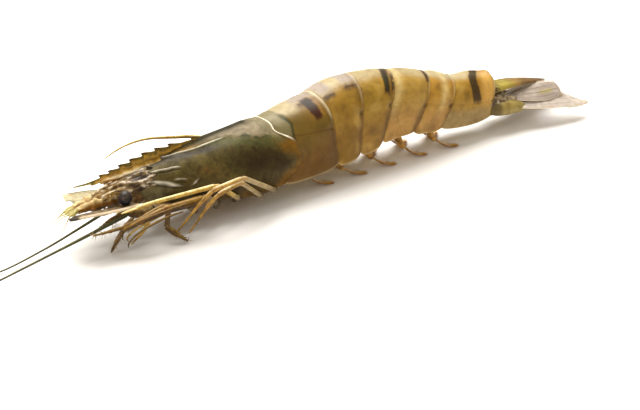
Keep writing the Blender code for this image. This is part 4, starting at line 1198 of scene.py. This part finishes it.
for order, (name, joints) in enumerate(LEGS.items()):
    palette, seed = LEG_COLOURS[name], 100.0 + 9.0 * order
    clawed = name[:5] in ("leg_1", "leg_2", "leg_3") and name != "leg_3_right"
    slim = [(x, y, z, 0.84 * radius) for x, y, z, radius in joints]
    shaded = 0.5 if name in ("leg_4_left", "leg_5_left") else 0.3
    parts = [jointed(name, slim[:-1] if clawed else slim, palette, seed, 0.8, 2.2, shaded)]
    if clawed:
        parts += claw(name, joints[-2], joints[-1], palette, seed)
    if name[:5] in ("maxil", "leg_2", "leg_1"):
        parts.append(hairs_along(joints, 0.5 if name[:5] == "maxil" else 0.72, 130, 3.0, order))
    if name == "maxilliped_left":
        parts.append(rod(name, [(-54.5, -10.6, 12.0, 0.8), (-57.5, -10.2, 7.0, 0.65),
                                (-60.8, -6.5, 0.6, 0.25)], joint_paint(*YELLOW_LEG, 91.0), 12, 50))
    # Thin outer branches lie along the second leg.
    for k, tone in enumerate((YELLOW_LEG, TAWNY_LEG, BROWN_LEG, YELLOW_LEG)):
        if name == "leg_2_left":
            off = 1.5 * math.cos(1.9 * k)
            up = 1.4 * math.sin(1.9 * k)
            strand = [(-40.0 - 2.0 * k, -13.6 + off, 13.4 + up, 0.3),
                      (-52.0, -14.2 + off, 13.2 + up, 0.45),
                      (-61.0, -13.6 + off, 11.0 + 1.6 * up, 0.4),
                      (-66.5 + k, -11.0 + 1.4 * off, 7.0 + 2.0 * up, 0.3),
                      (-68.0 + 2.0 * k, -9.4 + 1.4 * off, 3.4 + 1.5 * up, 0.12)]
            parts.append(rod(name, strand, joint_paint(*tone, 95.0 + k), 10, 60))
    if name == "leg_3_right":
        parts.append(rod(name, FAR_ARC, joint_paint("#efe0a0", "#c8a84c", "#a86a34", 7.0), 12, 120,
                         lambda v: 1.0 - 0.12 * bump_at(v, 0.5, 0.02)
                         - 0.12 * bump_at(v, 0.78, 0.02), 0.85))
    leg = joined(name + "_shown", parts)
    finish_piece(leg, limb_chitin, "limb_shell", name)


# --- Breast: the plate between the legs' roots, with a groove across it between each pair,
# and over it the gill covers' soft lining, which shows only from below.

def breast_surface(u, v):
    x = -50.0 + 44.5 * v
    a_half = np.interp(x, (-50, -46, -30, -20, -6, -5.5), (2.6, 4.6, 6.4, 6.8, 5.2, 4.6))
    level = np.interp(x, (-50, -46, -40, -30, -20, -11, -5.5), (10.8, 9.9, 9.1, 7.9, 7.1, 6.3, 5.6))
    turn = 2.0 * math.pi * u
    pinch = np.sqrt(np.clip(np.minimum(v, 1.0 - v) / 0.06, 0.0, 1.0))
    groove = 1.0 - 0.25 * np.cos(2.0 * math.pi * (x + 33.0) / 7.3) ** 8
    tall = 1.9 * pinch * np.where(np.cos(turn) < 0.0, groove, 1.0)
    return leaned(x, -a_half * pinch * np.sin(turn), level + tall * np.cos(turn))


def soft_paint(main, dark, seed):
    def paint(u, v, points):
        colours = np.repeat(linear(main)[None, :], len(u), axis=0)
        return mixed(colours, dark, 0.8 * ease(uneven(points, 2.5, seed), -0.1, 0.5))
    return paint


breast = lay_over("breast_plate", 40, 150, breast_surface,
                  soft_paint("#c2a06a", "#7d5a34", 7.0), closed=True)
finish_piece(breast, limb_chitin, "limb_shell", "thorax_underside")


def lining_surface(u, v):
    s = -51.0 + 52.0 * v
    height, _, half, flap = (np.interp(s, RUN[:, 0], RUN[:, k]) for k in range(1, 5))
    over = u < 0.7
    pleat = 0.35 * np.sin(2.0 * math.pi * s / 1.7)
    q = np.where(over, 0.86 - 1.72 * u / 0.7, 0.0)
    pinch = ease(v, 0.0, 0.05) * ease(v, 1.0, 0.97)
    cover = on_body(s, q, (0, 0, 0, 1.0), -1.4 - 3.0 * (1.0 - pinch))
    across = np.where(over, 0.0, -1.0 + 2.0 * (u - 0.7) / 0.3)
    up = -flap + 3.4 + 2.2 * (1.0 - across ** 2) + pleat * np.abs(across)
    under = leaned(s, across * (half * 0.92 - 1.5) * (0.4 + 0.6 * pinch), height + up)
    return np.where(over[:, None], cover, under)


lining = lay_over("gills_and_lining", 90, 220, lining_surface,
                  soft_paint("#8d7656", "#4c3a2a", 13.0), closed=True)
finish_piece(lining, belly_skin, "limb_shell")


# --- Swimmerets: five pairs of paddles under the abdomen, each a stout base with two thin,
# fringed blades that lie back on the table.

SWIM = ("#dcb468", "#b48638", "#6e481c")
for number, s in enumerate(RIBS_AT, start=1):
    height, _, _, flap = (np.interp(s, RUN[:, 0], RUN[:, k]) for k in range(1, 5))
    belly = height - flap + BELLY_UP
    for side, word in ((-1.0, "left"), (1.0, "right")):
        a, h = side * 4.2, belly - 2.2
        y, top = a * math.cos(LEAN) + h * math.sin(LEAN), h * math.cos(LEAN) - a * math.sin(LEAN)
        knee = (s + 2.4, y + side * 0.9, 0.5 + 0.42 * top)
        base = rod("base", [(s - 0.4, y, top + 0.8, 1.9), (s + 0.8, y + side * 0.5, 0.72 * top, 2.1),
                            (*knee, 1.5)], joint_paint(*SWIM, 200.0 + number), 20, 24,
                   None, 0.62, (0.0, 1.0, 0.0), 0.2)
        parts = [base]
        for out, far, half in ((1.6, 9.6, 1.9), (-0.9, 7.6, 1.5)):
            spine = []
            for share, wide in ((0.0, 0.6), (0.25, 1.0), (0.6, 1.0), (0.88, 0.6), (1.0, 0.25)):
                x, y2 = knee[0] + far * share, knee[1] + side * out * share
                z = knee[2] * (1.0 - share) ** 2 + 0.55 + 0.1 * (out > 0)
                spine.append((x, y2 * math.cos(LEAN) - z * math.sin(LEAN),
                              z * math.cos(LEAN) + y2 * math.sin(LEAN), half * wide, 0.5,
                              math.degrees(LEAN)))
            paddle, paddle_at = blade("paddle", spine, [(0.0, 0.12, 0.3)],
                                      lambda across, v, points: joint_paint(*SWIM, 31.0)(
                                          0.9 - 0.6 * np.abs(across), v, points), 24, 30)
            parts += [paddle, fringe("paddle_hairs", paddle_at, 0.25, 0.98, 34, 1.5, "#b8783c",
                                     seed=7 + number, sweep=1.6)]
        swimmeret = joined(f"paddle_pair_{number}_{word}", parts)
        finish_piece(swimmeret, limb_chitin, "swimmeret", f"swimmeret_{number}_{word}")


# --- Tail fan: a pointed, ridged middle piece (the telson) and two blades on each side that
# hang from a short base. The blades are thin, ribbed and fringed with hair.

tail_chitin = shell_material("ribbed_tail_chitin", "#a89c8c", 2.6, 0.3, 0.15, 0.35, 0.3, 0.25)
TELSON = [(98.0, 15.4, 5.1, 5.2), (100.5, 15.6, 5.1, 5.0), (105.6, 15.9, 4.9, 4.6), (112.0, 15.8, 4.5, 4.0),
          (120.0, 15.0, 3.1, 2.8), (127.0, 13.9, 1.4, 1.6), (130.0, 13.5, 0.3, 0.5)]
TELSON_RUN = smooth_run(TELSON, 8)


def telson_surface(u, v):
    x = 98.0 + 32.0 * v
    h, half, tall = (np.interp(x, TELSON_RUN[:, 0], TELSON_RUN[:, k]) for k in (1, 2, 3))
    turn = 2.0 * math.pi * u
    pinch = np.sqrt(np.clip(np.minimum(v, 1.0 - v) / 0.015, 0.0, 1.0))
    side, up = np.sin(turn), np.cos(turn)
    roof = np.where(up > 0, 1.0, 0.55)
    ridge = 0.14 * (bump_at(side, 0.32, 0.12) + bump_at(side, -0.32, 0.12)) * (up > 0)
    groove = 0.16 * bump_at(side, 0.0, 0.16) * (up > 0) * ease(v, 0.95, 0.6)
    return leaned(x, -half * pinch * side,
                  h + 0.5 * tall * pinch * (roof * np.sign(up) * np.abs(up) ** 0.8
                                            + 2 * (ridge - groove)))


def telson_paint(u, v, points):
    side = np.sin(2.0 * math.pi * u)
    fine = uneven(points, 2.0, 71.0)
    colours = np.repeat(linear("#86703a")[None, :], len(u), axis=0)
    colours = mixed(colours, "#a4943c", 0.85 * bump_at(v + 0.06 * fine, 0.28, 0.14))
    colours = mixed(colours, "#9a6c38", 0.45 * bump_at(v + 0.04 * fine, 0.5, 0.06))
    colours = mixed(colours, "#6a4c2a", 0.85 * ease(v + 0.08 * fine, 0.52, 0.66))
    colours = mixed(colours, "#64522c", 0.8 * ease(v + 0.04 * fine, 0.21, 0.12))
    creases = ease(np.abs(uneven(points, 2.2, 73.0)), 0.14, 0.05) * ease(v, 0.26, 0.16)
    colours = mixed(colours, "#33240f", 0.85 * creases)
    colours = mixed(colours, "#c8b48c", 0.6 * bump_at(side, 0.0, 0.1) * ease(v, 0.4, 0.6))
    colours = mixed(colours, "#4c2e18", 0.9 * ease(v + 0.03 * fine, 0.84, 0.93))
    return mixed(colours, "#5c4620", 0.7 * bump_at(np.abs(side), 0.32, 0.07)
                 * ease(v, 0.05, 0.3))


telson = lay_over("telson_spike", 48, 100, telson_surface, telson_paint, closed=True)
finish_piece(telson, tail_chitin, "tail_fan", "telson")


def base_paint(top, v, points):
    fine = uneven(points, 2.2, 77.0)
    colours = np.repeat(linear("#968448")[None, :], len(top), axis=0)
    colours = mixed(colours, "#7a6434", 0.7 * ease(fine, 0.0, 0.4))
    return mixed(colours, "#55472a", 0.6 * ease(v, 0.85, 1.0) + 0.8 * ease(v, 0.36, 0.2))


def fan_paint(main, pale, spot, lines, seed):
    """A tail blade's colours: nearly plain, with a few fine lines along it and a pale rim."""
    def paint(across, v, points):
        fine = uneven(points, 2.2, seed)
        colours = np.repeat(linear(main)[None, :], len(v), axis=0)
        colours = mixed(colours, pale, 0.6 * ease(fine, -0.1, 0.4))
        for where in (-0.5, 0.0, 0.5):
            colours = mixed(colours, "#54483c", lines * bump_at(across, where + 0.06, 0.025)
                            * ease(v, 0.95, 0.6))
        colours = mixed(colours, spot, 0.6 * ease(np.abs(v - 0.6), 0.2, 0.08)
                        * ease(np.abs(across + 0.1), 0.3, 0.1))
        colours = mixed(colours, "#5b4a40", 0.7 * lines * bump_at(np.abs(across), 0.86, 0.02))
        rim = np.maximum(ease(np.abs(across), 0.91, 0.97), ease(v, 0.96, 0.985))
        return mixed(colours, "#e8dcc8", 0.8 * rim)
    return paint


def skin_of_joint(top, v, points):
    fine = uneven(points, 1.4, 97.0)
    colours = np.repeat(linear("#8e7c60")[None, :], len(top), axis=0)
    colours = mixed(colours, "#3c2f1e", 0.85 * ease(fine, 0.0, 0.4))
    return mixed(colours, "#c8b898", 0.7 * ease(fine, -0.1, -0.4))


# Wrinkled skin closes the joint behind the last ring, under the telson.
joint_skin = joined("tail_joint_skin", [
    rod("skin", [(97.0, 1.9 + side * 2.0, 12.0, 3.4), (103.5, 1.7 + side * 2.6, 12.0, 3.0),
                 (109.0, 1.6 + side * 3.2, 11.4, 1.9), (113.5, 1.4 + side * 3.8, 10.8, 0.8)],
        skin_of_joint, 20, 30, None, 1.0, (0.0, 0.0, 1.0), 0.3) for side in (-1.0, 1.0)])
finish_piece(joint_skin, tail_chitin, "tail_fan")

for side, word in ((-1.0, "left"), (1.0, "right")):
    raised = 0.9 if side > 0.0 else 0.0
    line = []
    for x, a, h, radius in ((98.5, 3.8, 9.2, 2.2), (103.0, 4.6, 8.9, 2.9),
                            (108.0, 5.4, 8.5, 2.8), (112.0, 5.9, 7.9, 2.1), (115.0, 6.4, 7.5, 0.8)):
        a *= side
        line.append((x, a * math.cos(LEAN) + h * math.sin(LEAN),
                     h * math.cos(LEAN) - a * math.sin(LEAN), radius))
    base = rod(f"fan_base_{word}", line, base_paint, 24, 40, None, 1.1, (0.0, 0.0, 1.0), 0.06)
    finish_piece(base, tail_chitin, "tail_fan", f"uropod_base_{word}")
    inner = [(107.6, side * 3.4, 11.5, 1.2, 1.0, -side * 28.0),
             (116.0, side * 4.8, 11.3, 3.3, 0.9, -side * 34.0),
             (123.5, side * 5.6, 11.0, 4.2, 0.8, -side * 46.0),
             (129.0, side * 5.4, 10.7, 3.8, 0.7, -side * 48.0),
             (133.2, side * 5.1, 10.4, 2.6, 0.5, -side * 48.0)]
    outer = [(109.0, side * 5.8, 8.7, 1.5, 1.0, -side * 27.0),
             (118.0, side * 6.8, 8.0, 3.8, 0.9, -side * 28.0),
             (127.0, side * 7.7, 7.2 + 0.3 * raised, 4.9, 0.8, -side * 30.0),
             (133.5, side * 8.1, 6.2 + raised, 5.0, 0.7, -side * 30.0),
             (138.0, side * 8.6, 5.0 + raised, 3.6, 0.6, -side * 28.0),
             (141.2, side * 9.1, 4.0 + raised, 1.7, 0.4, -side * 25.0)]
    for kind, spine, look in (
            ("inner", inner, ("#a4978a", "#b4a89c", "#b4a868", 0.6, 83.0)),
            ("outer", outer, ("#b9ada0", "#d2c8bc", "#b9ada0", 0.4, 89.0))):
        fan, fan_at = blade(f"fan_{kind}_{word}", spine,
                            [(-0.5, 0.05, 0.2), (0.0, 0.06, 0.3), (0.5, 0.05, 0.2)],
                            fan_paint(*look), 96, 90, 0.04, side * 1.6 * (kind == "outer"))
        hairs = fringe("fan_hairs", fan_at, 0.5, 0.99, 120, 1.8, "#ddc8a8", seed=9)
        fan = joined(f"fan_{kind}_{word}", [fan, hairs])
        finish_piece(fan, tail_chitin, "tail_fan", f"uropod_{kind}_{word}")


# --- Studio: a white table under a wide soft light from above and behind, a weaker one in
# front, and white all round, as for a cut-out picture. None of it belongs to the prawn.

bpy.ops.object.select_all(action="DESELECT")
bpy.ops.mesh.primitive_plane_add(size=6.0, location=(0.0, 0.0, -0.00005))
table = bpy.context.active_object
table.name = "table"
table_white = bpy.data.materials.new("white_table_laminate")
table_white.use_nodes = True
tree = table_white.node_tree
tree.nodes.clear()
white = add_node(tree, "ShaderNodeBsdfPrincipled",
                 {"Base Color": (0.87, 0.85, 0.82, 1.0), "Roughness": 0.7,
                  "Specular IOR Level": 0.2})
add_node(tree, "ShaderNodeOutputMaterial", (), {"Surface": white.outputs["BSDF"]})
table.data.materials.append(table_white)

CAMERA_TURN, CAMERA_HEIGHT = math.radians(-33.0), math.radians(28.0)
CAMERA_FAR, CAMERA_LENS = 0.7, 105.47
LOOK_AT = Vector(over_ground(20.53, -1.99, -9.38))


def direction(turn, height):
    """From the middle towards a place round it: turn 0 is in front, at -Y."""
    return Vector((math.sin(turn) * math.cos(height), -math.cos(turn) * math.cos(height),
                   math.sin(height)))


back = direction(CAMERA_TURN, CAMERA_HEIGHT)
bpy.ops.object.camera_add(location=LOOK_AT + back * CAMERA_FAR)
camera = bpy.context.active_object
camera.rotation_euler = back.to_track_quat("Z", "Y").to_euler()
camera.data.lens = CAMERA_LENS
camera.data.sensor_width = 36.0
camera.data.clip_start = 0.01
bpy.context.scene.camera = camera

# Each soft light: turn and height in degrees, distance and width in metres, watts, tint.
for name, turn, height, far, width, power, tint in (
        ("overhead", 165.0, 62.0, 1.0, 1.0, 22.0, (1.0, 1.0, 1.0)),
        ("front", -60.0, 35.0, 1.2, 0.8, 4.0, (1.0, 0.98, 0.95))):
    toward = direction(math.radians(turn), math.radians(height))
    bpy.ops.object.light_add(type="AREA", location=toward * far)
    lamp = bpy.context.active_object
    lamp.name = "light_" + name
    lamp.data.shape = "DISK"
    lamp.data.size = width
    lamp.data.energy = power
    lamp.data.color = tint
    lamp.rotation_euler = toward.to_track_quat("Z", "Y").to_euler()

world = bpy.data.worlds.new("white_surround")
bpy.context.scene.world = world
world.use_nodes = True
tree = world.node_tree
tree.nodes.clear()
seen = add_node(tree, "ShaderNodeLightPath").outputs["Is Camera Ray"]
glow = add_node(tree, "ShaderNodeMapRange", {"To Min": 0.5, "To Max": 1.05}, {"Value": seen})
# The light from all round is warm, so shadows are brown; behind everything it stays white.
warm = add_node(tree, "ShaderNodeMix", {"data_type": "RGBA", 6: (1.0, 0.90, 0.76, 1.0),
                                        7: (1.0, 1.0, 1.0, 1.0)}, {0: seen})
surround = add_node(tree, "ShaderNodeBackground", (),
                    {"Color": warm.outputs[2], "Strength": glow.outputs["Result"]})
add_node(tree, "ShaderNodeOutputWorld", (), {"Surface": surround.outputs["Background"]})
bpy.context.scene.view_settings.view_transform = "Standard"
